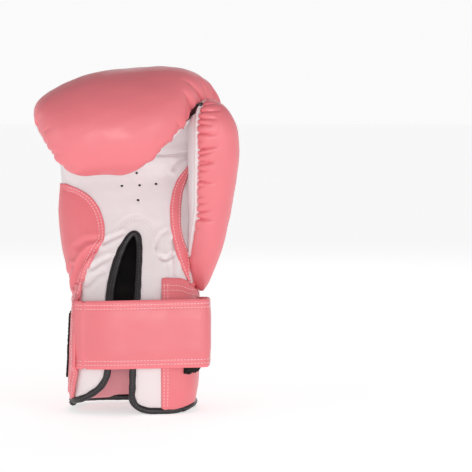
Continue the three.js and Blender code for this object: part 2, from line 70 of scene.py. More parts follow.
# Sections of the glove: station (height, and past SPLIT the degrees of curl), left and right edge,
# y of the side seam, how far the back and the palm stand off it, and how square the section is.
FORM_ROWS = [
    [0, -54, 46, 4, 41, 40, 3.4],
    [20, -57, 50, 4, 44, 44, 3.6],
    [57, -55, 50.5, 5, 45, 46, 3.6],
    [88, -54, 50, 7, 43, 44, 3.4],
    [99, -52, 48, 10, 35, 42, 2.8],
    [112, -57, 51, 17, 35.5, 43, 2.7],
    [147, -62.5, 55, 24, 33, 35, 2.7],
    [190, -65, 58, 27, 31.5, 21, 2.7],
    [207, -66, 60, 27, 32, 20, 2.7],
    [252, -72, 68, 27, 35.5, 25, 2.7],
    [277, -76, 69, 27, 38.5, 24, 2.7],
    [297, -80, 63, 27, 40.5, 20, 2.7],
    [312, -81.5, 55, 27, 40, 14, 2.7],
    [332, -81, 44, 27, 36.5, 8, 2.7],
    [348, -78.5, 37.5, 27, 32.5, 5.5, 2.7],
    [362, -74.5, 30.5, 27, 29, 5, 2.7],
    [374, -70, 24, 27, 25, 4.5, 2.7],
    [384, -66, 17, 27, 21, 4, 2.7],
    [392, -62, 11, 27, 17, 4, 2.7],
    [400, -56, 4, 27, 11, 4, 2.7],
    [406, -48, -4, 27, 4, 3.5, 2.4],
]
# Thickness of the padding between the form and the room inside it: station, back, palm, side.
WALL_ROWS = [
    [0, 1.8, 2.4, 1.8],
    [7, 2.2, 2.6, 2.2],
    [14, 5, 3.4, 4.5],
    [26, 8.5, 4, 8],
    [92, 9.5, 4.2, 8.5],
    [106, 14, 4.4, 10],
    [120, 21, 4.6, 12],
    [147, 25, 5, 13],
    [207, 22, 8, 14],
]
# Sections of the thumb: z, middle x and y, half sizes along x and y.
THUMB_ROWS = [
    [97, 52.2, 4.5, 1.5, 2],
    [101, 52.0, 3, 5, 6],
    [106, 51.4, 1, 8.4, 9],
    [113, 51.2, -2, 10.7, 12],
    [125, 53.6, -4, 12.9, 15],
    [135, 56, -4.5, 14.3, 17.3],
    [160, 59.4, -6, 17, 20.5],
    [185, 61, -10, 19.5, 22],
    [210, 62.5, -15, 21, 22],
    [230, 62, -19.5, 20.4, 20.8],
    [254, 59, -22, 20, 20],
]
THUMB_DOME = 225.0  # the thumb's tip is a dome from here
THUMB_TOP = 254.2


# ---------------- curves and sections
def soft_curve(knots, values, blur):
    """A smooth function near the given points: straight lines between them, blurred."""
    step = 0.25
    fine = np.arange(knots[0], knots[-1] + step / 2, step)
    line = np.interp(fine, knots, values)
    reach = int(3 * blur / step)
    kernel = np.exp(-0.5 * (np.arange(-reach, reach + 1) * step / blur) ** 2)
    before = 2 * line[0] - line[reach:0:-1]
    after = 2 * line[-1] - line[-2 : -reach - 2 : -1]
    soft = np.convolve(np.concatenate([before, line, after]), kernel / kernel.sum(), "valid")
    return lambda at: np.interp(at, fine, soft)


def soft_table(rows, names, blur):
    columns = np.array(rows, float).T
    return {name: soft_curve(columns[0], column, blur) for name, column in zip(names, columns[1:])}


FORM = soft_table(FORM_ROWS, ["left", "right", "base", "out", "into", "power"], 5)
WALL = soft_table(WALL_ROWS, ["back", "palm", "side"], 4)
THUMB = soft_table(THUMB_ROWS, ["x", "y", "half_x", "half_y"], 3)
THUMB_BACK = soft_curve([96, 160, 190, 215, 240, 256], [0, 0, 6, 9, 8, 3], 5)  # fuller towards the fist
# Where the thumb's two seams run round its section, in degrees, at each height.
THUMB_FRONT_SEAM = soft_curve([96, 113, 128, 145, 165, 256], [181, 184, 205, 219, 231, 232], 4)
THUMB_BACK_SEAM = soft_curve([96, 113, 128, 145, 165, 256], [179, 172, 155, 140, 130, 128], 4)


def ramp(value, start, end):
    """0 before start, 1 after end, smooth between them."""
    t = np.clip((value - start) / (end - start), 0, 1)
    return t * t * (3 - 2 * t)


def bell(value, middle, width):
    """A soft bump: 1 at the middle, and almost gone two widths away."""
    return np.exp(-(((value - middle) / width) ** 2))


def super_point(angle, half, out, into, power):
    """A point of a superellipse, and its outward normal, as four arrays."""
    c, s = np.cos(angle), np.sin(angle)
    height = np.where(s >= 0, out, into)
    u = np.sign(c) * np.abs(c) ** (2 / power)
    v = np.sign(s) * np.abs(s) ** (2 / power)
    nu = np.sign(u) * np.abs(u) ** (power - 1) / half
    nv = np.sign(v) * np.abs(v) ** (power - 1) / height
    size = np.hypot(nu, nv)
    return u * half, v * height, nu / size, nv / size


def place(station, across, off):
    """Puts a point of a section into space: across is x, off is the distance from the side seam."""
    turn = np.radians(np.maximum(station - SPLIT, 0))
    radius = CURL_R + off
    lean = 0.1 * np.sin(np.minimum(turn, np.pi)) ** 2 * np.minimum(1, radius / 60)
    straight = station <= SPLIT
    y = np.where(straight, FORM["base"](station) + off, CURL_Y + radius * np.cos(turn))
    z = np.where(straight, station, SPLIT + radius * np.sin(turn) + lean * (across - 15))
    return np.stack(np.broadcast_arrays(across, y, z), -1)


def surface(station, angle, depth=0.0):
    """The glove's surface. The angle is 0 at the thumb's side, 90 degrees at the back, 270 at the palm."""
    left, right = FORM["left"](station), FORM["right"](station)
    half = (right - left) / 2
    power = FORM["power"](station)
    u, v, nu, nv = super_point(angle, half, FORM["out"](station), FORM["into"](station), power)
    return place(station, (left + right) / 2 + u - nu * depth, v - nv * depth)


def room(station, angle, grow=0.0):
    """The wall of the room for the hand, inside the padding."""
    left = FORM["left"](station) + WALL["side"](station)
    right = FORM["right"](station) - WALL["side"](station)
    out = FORM["out"](station) - WALL["back"](station)
    into = FORM["into"](station) - WALL["palm"](station)
    half = (out + into) / 2 + grow
    u, v, _, _ = super_point(angle, (right - left) / 2 + grow, half, half, 2.6)
    return place(station, (left + right) / 2 + u, (out - into) / 2 + v)


def palm_angle(station, x):
    """The section angle on the palm at which the surface has that x."""
    left, right = FORM["left"](station), FORM["right"](station)
    u = np.clip((2 * x - left - right) / (right - left), -1, 1)
    return 2 * np.pi - np.arccos(np.sign(u) * np.abs(u) ** (FORM["power"](station) / 2))


def on_palm(x, z, depth=0.0):
    return surface(z, palm_angle(z, x), depth)


def thumb_skin(z, angle):
    dome = np.sqrt(1 - (np.maximum(z - THUMB_DOME, 0) / (THUMB_TOP + 0.2 - THUMB_DOME)) ** 2)
    half_x, half_y = THUMB["half_x"](z) * dome, THUMB["half_y"](z) * dome
    u, v, _, _ = super_point(angle, half_x, half_y + THUMB_BACK(z) * dome, half_y, 2.2)
    return np.stack(np.broadcast_arrays(THUMB["x"](z) + u, THUMB["y"](z) + v, z), -1)


# ---------------- grids
def unit(vectors):
    return vectors / np.maximum(np.linalg.norm(vectors, axis=-1, keepdims=True), 1e-9)


def normals_of(grid, closed=False):
    """Outward normals of a grid whose rows go up and whose columns go round anticlockwise."""
    if closed:
        wide = np.concatenate([grid[:, -1:], grid, grid[:, :1]], axis=1)
        across = (wide[:, 2:] - wide[:, :-2]) / 2
    else:
        across = np.gradient(grid, axis=1)
    return unit(np.cross(across, np.gradient(grid, axis=0)))


def raised(grid, height, closed=False):
    """The grid moved out along its normals."""
    return grid + height[..., None] * normals_of(grid, closed)


def spread_rows(fine, columns, ease=0.4):
    """Each row of a fine grid cut down to columns points, closer together at the row's ends."""
    steps = np.linalg.norm(np.diff(fine, axis=1), axis=2)
    arc = np.concatenate([np.zeros((len(fine), 1)), np.cumsum(steps, axis=1)], axis=1)
    share = np.linspace(0, 1, columns)
    share = share - ease * np.sin(2 * np.pi * share) / (2 * np.pi)
    grid = np.empty((len(fine), columns, 3))
    for row, (points, lengths) in enumerate(zip(fine, arc)):
        for axis in range(3):
            grid[row, :, axis] = np.interp(share * lengths[-1], lengths, points[:, axis])
    return grid, share[None, :] * arc[:, -1:]


def form_grid(stations, start, end, columns, depth=0.0, drop=0.0):
    """A grid on the form between two section angles, and the distance of its points from each end."""
    t = np.linspace(0, 1, 420)
    angle = start + (end - start) * t * t * (3 - 2 * t)
    depth, drop = np.broadcast_to(depth, stations.shape), np.broadcast_to(drop, stations.shape)
    fine = surface(stations[:, None], angle[None, :], depth[:, None])
    fine[..., 2] -= drop[:, None]
    grid, along = spread_rows(fine, columns)
    return grid, along, along[:, -1:] - along


def joined(*stretches):
    """Stations made of several even stretches: (from, to, count)."""
    parts = [np.linspace(a, b, n, endpoint=False) for a, b, n in stretches[:-1]]
    return np.concatenate(parts + [np.linspace(*stretches[-1])])


def rounded_path(corners, step=1.0):
    """A Catmull-Rom curve through the corners, with even steps."""
    p = np.array(corners, float)
    p = np.concatenate([[2 * p[0] - p[1]], p, [2 * p[-1] - p[-2]]])
    t = np.linspace(0, 1, 12, endpoint=False)[:, None]
    parts = []
    for a, b, c, d in zip(p, p[1:], p[2:], p[3:]):
        bend, twist = 2 * a - 5 * b + 4 * c - d, 3 * b - a - 3 * c + d
        parts.append(b + 0.5 * ((c - a) * t + bend * t**2 + twist * t**3))
    return even(np.concatenate(parts + [p[-2:-1]]), step)


def arc_along(path):
    """How far along the path each of its points is."""
    return np.concatenate([[0], np.cumsum(np.linalg.norm(np.diff(path, axis=0), axis=1))])


def read_along(at, arc, values):
    """Rows of values at distances along a path, where arc gives the distance of each row."""
    return np.stack([np.interp(at, arc, values[:, k]) for k in range(values.shape[1])], -1)


def even(path, step):
    """The path's points at even steps along it."""
    arc = arc_along(path)
    return read_along(np.linspace(0, arc[-1], max(2, int(round(arc[-1] / step)) + 1)), arc, path)


def distance_to(points, path):
    """How far each 2-D point is from a path of straight stretches."""
    best = np.full(len(points), 1e9)
    for a, b in zip(path, path[1:]):
        t = np.clip(((points - a) @ (b - a)) / max((b - a) @ (b - a), 1e-9), 0, 1)
        best = np.minimum(best, np.linalg.norm(points - a - t[:, None] * (b - a), axis=1))
    return best


def away_from(points, path):
    """How far each point of a grid of 2-D points is from a path."""
    return distance_to(points.reshape(-1, 2), path).reshape(points.shape[:-1])


def inside(points, outline):
    """Which 2-D points lie inside a closed outline."""
    x, z = points.T
    odd = np.zeros(len(points), bool)
    for (ax, az), (bx, bz) in zip(outline, np.roll(outline, -1, axis=0)):
        crosses = (az > z) != (bz > z)
        odd ^= crosses & (x < ax + (z - az) * (bx - ax) / (bz - az + 1e-12))
    return odd


def waves(points, length, seed, count=7):
    """Soft irregular bumps between about -1 and 1, of roughly that wavelength."""
    rng = np.random.default_rng(seed)
    total = 0
    for _ in range(count):
        way = unit(rng.normal(size=3)) * 2 * np.pi / (length * rng.uniform(0.7, 1.5))
        total = total + np.sin(points @ way + rng.uniform(0, 2 * np.pi))
    return total / count**0.5


# ---------------- folds
def pleat_set(seed, start, end, spacing, depth, length):
    """Irregular pleats along a seam: rows of place, depth, length and lean."""
    rng = np.random.default_rng(seed)
    rows = []
    at = start
    while at < end:
        size = rng.uniform(0.45, 1.2)
        rows.append([at, depth * size, length * size * rng.uniform(0.75, 1.2), rng.uniform(-0.22, 0.22)])
        at += spacing * rng.uniform(0.6, 1.35)
    return rows


def pleat_sets(*sets):
    """Several sets of pleats as one list of rows."""
    return [row for one in sets for row in pleat_set(*one)]


def pleats(rows, along, inward, scale, width):
    """Height of pleats that run in from a seam: along is the place beside it, scale its millimetres."""
    height = np.zeros(np.broadcast(along, inward).shape)
    inward = np.maximum(inward, 0)
    for at, depth, length, lean in rows:
        fade = np.clip(1 - (inward / length) ** 1.5, 0, 1)
        spread = width * (0.8 + 0.5 * inward / length)
        across = np.abs((along - at) * scale - lean * inward) / spread
        height -= depth * fade * (0.75 * np.exp(-across) + 0.25 * bell(across, 0, 3))
    return height


def crease(points, path, depth, width):
    """Height of a crease with soft shoulders along a path, for 2-D points of any grid shape."""
    away = away_from(points, rounded_path(path, 2.0))
    shoulders = 0.45 * bell(away, 2 * width, 1.1 * width)
    return depth * (shoulders - bell(away, 0, width))


def groove(distance, depth, width):
    """A seam's groove beside an edge."""
    return -depth * np.exp(-((distance / width) ** 1.5))


# ---------------- solids
def cells_of(index):
    """The four point numbers of each cell of a grid of point numbers."""
    return np.stack([index[:-1, :-1], index[:-1, 1:], index[1:, 1:], index[1:, :-1]], -1)


def thick_skin(grid, thickness, keep=None, closed=False, square=()):
    """A closed skin whose outer face is the grid, with a rounded rim. keep says which cells stay, and
    square which columns have a flat rim.
    """
    rows, columns = grid.shape[:2]
    normals = normals_of(grid, closed)
    outer = grid.reshape(-1, 3)
    inner = (grid - thickness * normals).reshape(-1, 3)
    index = np.arange(rows * columns).reshape(rows, columns)
    if closed:
        index = np.concatenate([index, index[:, :1]], axis=1)
    quads = cells_of(index)
    quads = quads[keep] if keep is not None else quads.reshape(-1, 4)
    count = len(outer)
    edges = np.concatenate([quads[:, [0, 1]], quads[:, [1, 2]], quads[:, [2, 3]], quads[:, [3, 0]]])
    key = edges.min(axis=1) * count + edges.max(axis=1)
    _, back, uses = np.unique(key, return_inverse=True, return_counts=True)
    rim = edges[uses[back] == 1]
    outwards = np.zeros((count, 3))
    side = np.cross(outer[rim[:, 1]] - outer[rim[:, 0]], normals.reshape(-1, 3)[rim[:, 0]])
    np.add.at(outwards, rim[:, 0], unit(side))
    np.add.at(outwards, rim[:, 1], unit(side))
    on_rim = np.unique(rim)
    swell = np.full((rows, columns), thickness / 2)
    swell[:, list(square)] = 0
    edge_points = (outer[on_rim] + inner[on_rim]) / 2
    edge_points = edge_points + unit(outwards[on_rim]) * swell.reshape(-1)[on_rim, None]
    middle = np.zeros(count, int)
    middle[on_rim] = 2 * count + np.arange(len(on_rim))
    a, b = rim.T
    faces = np.concatenate(
        [
            quads,
            quads[:, ::-1] + count,
            np.stack([b, a, middle[a], middle[b]], -1),
            np.stack([middle[b], middle[a], a + count, b + count], -1),
        ]
    )
    points = np.concatenate([outer, inner, edge_points])
    used = np.unique(faces)
    fresh = np.zeros(len(points), int)
    fresh[used] = np.arange(len(used))
    return points[used], fresh[faces].tolist()


def swept(path, across, up, half_across, half_up, sides=12):
    """A closed tube of elliptical section: across and up are unit directions at each point."""
    turn = np.linspace(0, 2 * np.pi, sides, endpoint=False)
    half_across = np.broadcast_to(half_across, len(path))[:, None, None]
    half_up = np.broadcast_to(half_up, len(path))[:, None, None]
    rings = path[:, None] + np.cos(turn)[None, :, None] * across[:, None] * half_across
    rings = rings + np.sin(turn)[None, :, None] * up[:, None] * half_up
    index = np.arange(rings.shape[0] * sides).reshape(-1, sides)
    wide = np.concatenate([index, index[:, :1]], axis=1)
    ends = [index[0, ::-1].tolist(), index[-1].tolist()]
    faces = cells_of(wide).reshape(-1, 4).tolist() + ends
    return rings.reshape(-1, 3), faces


def made_of(parts):
    """Several solids as one mesh."""
    points, faces, count = [], [], 0
    for part_points, part_faces in parts:
        points.append(part_points)
        faces += [[i + count for i in face] for face in part_faces]
        count += len(part_points)
    return np.concatenate(points), faces


STITCH_SIDES = 5
STITCH_LENGTH = 2.0
STITCH_PITCH = 2.7
STITCH_RADIUS = 0.32
# Along a stitch: place, thickness and height, as shares of its length and radius.
STITCH_PROFILE = [
    (-0.5, 0.3, -0.7), (-0.38, 0.85, 0.1), (0, 1.0, 0.35), (0.38, 0.85, 0.1), (0.5, 0.3, -0.7),
]


def stitch_faces(first):
    """The faces of one stitch whose points start at that number."""
    faces = []
    for ring in range(len(STITCH_PROFILE) - 1):
        for k in range(STITCH_SIDES):
            a, b = ring * STITCH_SIDES + k, ring * STITCH_SIDES + (k + 1) % STITCH_SIDES
            faces.append([a, a + STITCH_SIDES, b + STITCH_SIDES, b])
    last = len(STITCH_PROFILE) * STITCH_SIDES - 1
    faces.append(list(range(STITCH_SIDES)))
    faces.append([last - k for k in range(STITCH_SIDES)])
    return [[i + first for i in face] for face in faces]


def stitches(path, up):
    """Thread along a path on a surface: one small bent capsule for each stitch."""
    arc = arc_along(path)
    middles = np.arange(STITCH_PITCH / 2, arc[-1] - STITCH_PITCH / 3, STITCH_PITCH)
    at, ahead, behind = (read_along(middles + shift, arc, path) for shift in (0, 0.6, -0.6))
    normal = unit(read_along(middles, arc, up))
    tangent = unit(ahead - behind)
    side = unit(np.cross(tangent, normal))
    turn = np.linspace(0, 2 * np.pi, STITCH_SIDES, endpoint=False)
    cosine, sine = np.cos(turn)[None, :, None], np.sin(turn)[None, :, None]
    spokes = cosine * side[:, None] + sine * normal[:, None]
    rings = []
    for place_share, thick, height in STITCH_PROFILE:
        centre = at + tangent * place_share * STITCH_LENGTH + normal * height * STITCH_RADIUS
        rings.append(centre[:, None] + STITCH_RADIUS * thick * spokes)
    points = np.stack(rings, axis=1).reshape(-1, 3)
    per_stitch = len(STITCH_PROFILE) * STITCH_SIDES
    faces = []
    for k in range(len(at)):
        faces += stitch_faces(k * per_stitch)
    return points, faces


# ---------------- pieces
def add_piece(name, solid, material, slot, replaces=(), flat_over=None):
    """A mesh object from a solid in millimetres."""
    points, faces = solid
    mesh = bpy.data.meshes.new(name)
    mesh.from_pydata(((points + CENTRE) * 0.001).tolist(), [], faces)
    mesh.materials.append(material)
    mesh.update()
    mesh.polygons.foreach_set("use_smooth", np.ones(len(mesh.polygons), bool))
    if flat_over:
        mesh.set_sharp_from_angle(angle=math.radians(flat_over))
    piece = bpy.data.objects.new(name, mesh)
    bpy.context.scene.collection.objects.link(piece)
    if replaces:
        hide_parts(*replaces)
    return piece


def on_hand(*details):
    """A piece that rides on the hand's body: name, solid, material, slot and what it replaces. The slot is
    not used.
    """
    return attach(add_piece(*details), "hand")


def bends_with_fist(piece):
    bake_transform(piece)


def bends_with_thumb(piece):
    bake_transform(piece)


# ---------------- materials
def new_material(name):
    material = bpy.data.materials.new(name)
    material.use_nodes = True
    tree = material.node_tree
    shader = tree.nodes["Principled BSDF"]
    place_node = tree.nodes.new("ShaderNodeTexCoord")
    return material, tree, shader, place_node.outputs["Object"]


def set_inputs(node, values):
    for name, value in values.items():
        node.inputs[name].default_value = value


def wire(tree, shader, body, normal):
    tree.links.new(body, shader.inputs["Base Color"])
    tree.links.new(normal, shader.inputs["Normal"])


def noise(tree, at, scale, detail=3.0, roughness=0.55):
    node = tree.nodes.new("ShaderNodeTexNoise")
    set_inputs(node, {"Scale": scale, "Detail": detail, "Roughness": roughness})
    tree.links.new(at, node.inputs["Vector"])
    return node.outputs["Fac"]


def colour_ramp(tree, value, stops):
    node = tree.nodes.new("ShaderNodeValToRGB")
    node.color_ramp.elements[0].position, node.color_ramp.elements[1].position = stops[0][0], stops[-1][0]
    node.color_ramp.elements[0].color = (*stops[0][1], 1)
    node.color_ramp.elements[1].color = (*stops[-1][1], 1)
    for position, colour in stops[1:-1]:
        node.color_ramp.elements.new(position).color = (*colour, 1)
    tree.links.new(value, node.inputs["Fac"])
    return node.outputs["Color"]


def mixed(tree, share, a, b):
    """Colour a with that share of colour b over it."""
    node = tree.nodes.new("ShaderNodeMix")
    node.data_type = "RGBA"
    node.inputs["Factor"].default_value = share
    tree.links.new(a, node.inputs["A"])
    tree.links.new(b, node.inputs["B"])
    return node.outputs["Result"]


def to_range(tree, value, low_out, high_out):
    """Spreads the middle of a noise's values over the range from low_out to high_out."""
    node = tree.nodes.new("ShaderNodeMapRange")
    set_inputs(node, {"From Min": 0.3, "From Max": 0.7, "To Min": low_out, "To Max": high_out})
    tree.links.new(value, node.inputs["Value"])
    return node.outputs["Result"]


def bumped(tree, height, strength, distance, under=None):
    node = tree.nodes.new("ShaderNodeBump")
    set_inputs(node, {"Strength": strength, "Distance": distance})
    tree.links.new(height, node.inputs["Height"])
    if under is not None:
        tree.links.new(under, node.inputs["Normal"])
    return node.outputs["Normal"]


def shaded(colour, factor):
    return tuple(min(1.0, channel * factor) for channel in colour)


def leather(name, colour, roughness, grain=1.0, fold_shade=0.72):
    """Coated leather: mottled colour, painted shade in the folds and a painted highlight on the ridges, a
    pebbled grain and soft wrinkles.
    """
    material, tree, shader, at = new_material(name)
    mottle = noise(tree, at, 22, 4)
    patches = [(0.3, shaded(colour, 0.94)), (0.5, colour), (0.72, shaded(colour, 1.05))]
    body = colour_ramp(tree, mottle, patches)
    pores = noise(tree, at, 2600, 2)
    pored = colour_ramp(tree, pores, [(0.35, shaded(colour, 0.88)), (0.62, shaded(colour, 1.05))])
    body = mixed(tree, 0.35, body, pored)
    # Painted shade and highlight: by the surface's pointiness, a darker, deeper colour in the folds and a
    # lighter one on the ridges.
    geometry = tree.nodes.new("ShaderNodeNewGeometry")
    deep = tuple(c * fold_shade ** (1 + 1.3 * k) for k, c in zip((0, 1, 0.8), colour))
    ridge_highlight = shaded(colour, 1.12)
    stops = [(0.42, deep), (0.49, colour), (0.51, colour), (0.58, ridge_highlight)]
    body = mixed(tree, 0.55, body, colour_ramp(tree, geometry.outputs["Pointiness"], stops))
    gloss = to_range(tree, noise(tree, at, 60, 5), roughness - 0.05, roughness + 0.07)
    tree.links.new(gloss, shader.inputs["Roughness"])
    cells = tree.nodes.new("ShaderNodeTexVoronoi")
    cells.feature = "SMOOTH_F1"
    set_inputs(cells, {"Scale": 1500, "Smoothness": 0.6})
    tree.links.new(at, cells.inputs["Vector"])
    normal = bumped(tree, noise(tree, at, 150, 5, 0.6), 0.16 * grain, 0.0012)
    normal = bumped(tree, cells.outputs["Distance"], 0.22 * grain, 0.0002, normal)
    wire(tree, shader, body, normal)
    set_inputs(shader, {"Specular IOR Level": 0.5, "Coat Weight": 0.12, "Coat Roughness": 0.22})
    return material


def woven(name, colour, roughness):
    """Plain-woven cloth: crossing threads as colour and bump, with a little fuzz."""
    material, tree, shader, at = new_material(name)
    heights = []
    for direction in ("X", "Z"):
        node = tree.nodes.new("ShaderNodeTexWave")
        node.bands_direction = direction
        set_inputs(node, {"Scale": 900.0, "Distortion": 0.6})
        tree.links.new(at, node.inputs["Vector"])
        heights.append(node.outputs["Fac"])
    sum_node = tree.nodes.new("ShaderNodeMath")
    sum_node.operation = "MAXIMUM"
    tree.links.new(heights[0], sum_node.inputs[0])
    tree.links.new(heights[1], sum_node.inputs[1])
    weave = sum_node.outputs[0]
    body = colour_ramp(tree, weave, [(0.1, shaded(colour, 0.5)), (0.9, shaded(colour, 1.25))])
    tufts = noise(tree, at, 500, 4)
    fuzz = colour_ramp(tree, tufts, [(0.35, shaded(colour, 0.75)), (0.7, shaded(colour, 1.5))])
    wire(tree, shader, mixed(tree, 0.4, body, fuzz), bumped(tree, weave, 0.6, 0.0003))
    set_inputs(shader, {"Roughness": roughness, "Sheen Weight": 0.15})
    return material


def pile(name, colour):
    """Loop tape: a dense fuzz of loops that catch the light as specks."""
    material, tree, shader, at = new_material(name)
    tuft = noise(tree, at, 1500, 3, 0.7)
    specks = [(0.35, shaded(colour, 0.35)), (0.53, colour), (0.68, shaded(colour, 9.0))]
    wire(tree, shader, colour_ramp(tree, tuft, specks), bumped(tree, tuft, 1.0, 0.001))
    set_inputs(shader, {"Roughness": 0.95, "Specular IOR Level": 0.12, "Sheen Weight": 0.06})
    return material


def foam(name, colour):
    """Open foam: small dark cells in a matt body."""
    material, tree, shader, at = new_material(name)
    cells = noise(tree, at, 1200, 2, 0.8)
    body = colour_ramp(tree, cells, [(0.35, shaded(colour, 0.55)), (0.6, colour)])
    wire(tree, shader, body, bumped(tree, cells, 0.6, 0.0005))
    set_inputs(shader, {"Roughness": 0.95})
    return material


pink_leather = leather("pink_leather", (0.800, 0.190, 0.218), 0.40)
panel_leather = leather("pink_panel_leather", (0.810, 0.185, 0.213), 0.44, 0.8)
# A little darker than pink_leather: painted shade, to tone down the strap, cuff and root tape.
strap_leather = leather("pink_strap_leather", (0.790, 0.185, 0.212), 0.43, 0.7)
# Brighter than pink_leather: painted light on the pink lining inside the cuff, which lies in shade.
facing_leather = leather("pink_facing", (0.98, 0.40, 0.44), 0.5, 0.6)
# White leather with a pink tint: the tint is painted light, bounced off the pink leather round it.
white_leather = leather("white_leather", (0.785, 0.705, 0.715), 0.38, 0.9, 0.88)
binding_leather = leather("black_binding", (0.009, 0.006, 0.008), 0.38, 1.5, 0.9)
pink_thread = leather("pink_thread", (0.93, 0.55, 0.56), 0.6, 0.3)
white_thread = leather("white_thread", (0.86, 0.78, 0.77), 0.6, 0.3)
black_thread = leather("black_thread", (0.06, 0.054, 0.057), 0.55, 0.3)
black_lining = woven("black_lining", (0.009, 0.007, 0.0075), 0.95)
loop_pile = pile("loop_pile", (0.012, 0.010, 0.010))
hook_pile = pile("hook_pile", (0.014, 0.012, 0.012))
grey_foam = foam("grey_foam", (0.2, 0.2, 0.22))

# ---------------- fist and back of the hand
LIP_STATION = 103.0  # the padding's lower edge, rounded over the cuff
LIP_DEEP = 8.0
LIP_HIGH = 7.5
# Folds between the fist and the thumb's tip: place, depth, length and lean.
DEEP_FOLDS = [[259, 5.5, 30, 0.1], [270, 6.5, 36, -0.05], [283, 6.0, 30, 0.12]]


# Pleats along the two seams: seed, first and last station, spacing, depth and length.
LITTLE_PLEATS = pleat_sets((3, 195, 300, 6.0, 6.4, 40), (5, 304, 402, 5.8, 2.4, 23))
THUMB_PLEATS = pleat_sets(
    (8, 230, 284, 7.2, 4.8, 30), (11, 342, 402, 7.5, 1.7, 15), (12, 287, 338, 5.6, 6.2, 33),
)


def gathered_edge(station, from_thumb):
    """How far the lobe's thumb side edge is pulled in or out, where it is gathered unevenly."""
    wave = 0.9 * np.sin(0.31 * station + 1.0) + 0.6 * np.sin(0.57 * station)
    near = bell(from_thumb, 0, 9)
    return wave * near * ramp(station, 326, 340) * ramp(-station, -405, -398)


def seam_scale(grid, station, least=0):
    """Millimetres for each unit of station: past SPLIT that is a degree of curl, longer further out."""
    radius = np.maximum(np.hypot(grid[..., 1] - CURL_Y, grid[..., 2] - SPLIT), least)
    return np.where(station > SPLIT, np.radians(radius), 1.0)


def fist_shell():
    lip = np.linspace(math.radians(88), 0, 10)[:-1]
    body = joined((LIP_STATION, SPLIT, 44), (SPLIT, TIP, 386))
    stations = np.concatenate([np.full(len(lip), LIP_STATION), body])
    depth = np.concatenate([LIP_DEEP * (1 - np.cos(lip)), np.zeros(len(body))])
    drop = np.concatenate([LIP_HIGH * np.sin(lip), np.zeros(len(body))])
    grid, from_thumb, from_little = form_grid(stations, 0.0, np.pi, 112, depth + 0.3, drop)
    station = stations[:, None]
    grid[..., 0] += gathered_edge(station, from_thumb)
    scale = seam_scale(grid, station)
    edges = bell(from_little, 9, 9)
    height = pleats(LITTLE_PLEATS, station, from_little, scale, 1.05)
    height += pleats(THUMB_PLEATS + DEEP_FOLDS, station, from_thumb, scale, 1.2)
    gathered = ramp(station, 188, 215)
    height += 2.3 * gathered * edges * (1 - 0.6 * ramp(station, 312, 350))
    height += 1.5 * gathered * bell(from_thumb, 8, 8)
    front_roll = ramp(station, 282, 305) * (1 - ramp(station, 330, 352))
    height += 2.0 * bell(from_little, 20, 11) * front_roll
    height += groove(from_little, 2.0, 1.5) + groove(from_thumb, 2.0, 1.5)
    height += 2.4 * ramp(-station, -124, -106)
    lip_pleats = pleat_set(21, 6, 150, 7.5, 1.2, 13)
    height += pleats(lip_pleats, from_thumb, np.maximum(grid[..., 2] - 95, 0), 1.0, 1.6) * (station < 130)
    height += 0.45 * waves(grid, 55, 2) + 0.12 * waves(grid, 16, 4)
    grid = raised(grid, height)
    return thick_skin(grid, 1.5)


# ---------------- palm and fingers, white
SLIT_EDGE = [
    (-56, 8.6), (-47, 11.5), (-40, 14.6), (-30.5, 21), (-25, 28.5), (-22.7, 38), (-22, 62), (-21.7, 93),
    (-20.6, 104), (-18.4, 115), (-14.8, 127), (-11, 135.5), (-6.6, 142.3), (-2.4, 145.2), (0.6, 142.6),
    (1.9, 135.5), (2.2, 125), (1.6, 109), (1, 95.7), (-1.2, 62), (-2.4, 39), (-2.9, 22), (-3.2, 13),
    (0.5, 6.6), (9, 3.1), (19, 2.7), (30, 2.8), (38, 4.0),
]
slit_line = rounded_path(SLIT_EDGE, 1.2)
SLIT_AREA = np.concatenate([slit_line, [(80, 2), (80, -20), (-90, -20), (-90, 8)]])
SLIT_LIMIT = 150  # the slit ends below this station
# The stitched arc round the slit's top.
ARC = [
    (-18.4, 146.5), (-11, 154), (-2, 158.2), (6.5, 155.6), (12.7, 149.5), (15.8, 139), (18, 128),
    (22.5, 125), (28.5, 127),
]
VENTS = [(-1, 194), (-13, 183.5), (1.5, 184), (15, 185), (0.5, 172)]
VENT_R = 1.15
PUNCH_Y = (-6.0, 26.0)  # the two ends of the cut that makes a vent
PALM_CREASES = [
    # depth, width, path in x and z
    (1.8, 1.6, [(-27, 137.5), (-20, 141.5), (-12, 145)]),
    (1.4, 1.8, [(-36, 117), (-28, 123), (-21, 126)]),
    (1.2, 2.0, [(-41, 104), (-33, 112), (-27, 115)]),
    (1.0, 1.6, [(24, 147), (19, 143), (16, 134)]),
    (1.7, 1.4, [(19, 126.5), (24, 124), (29.5, 128)]),
    (1.6, 1.8, [(30, 139), (31, 126), (31, 112)]),
    (1.2, 1.8, [(26, 120), (26.5, 112), (26, 106)]),
    (1.2, 1.6, [(30, 197), (36, 203), (44, 208)]),
]


def in_slit(flat, station):
    """Which cells of a grid lie in the slit, from the x and z of its points."""
    middles = (flat[:-1, :-1] + flat[1:, 1:]) / 2
    cut_out = inside(middles.reshape(-1, 2), SLIT_AREA).reshape(middles.shape[:-1])
    return cut_out & (station[:-1] < SLIT_LIMIT)


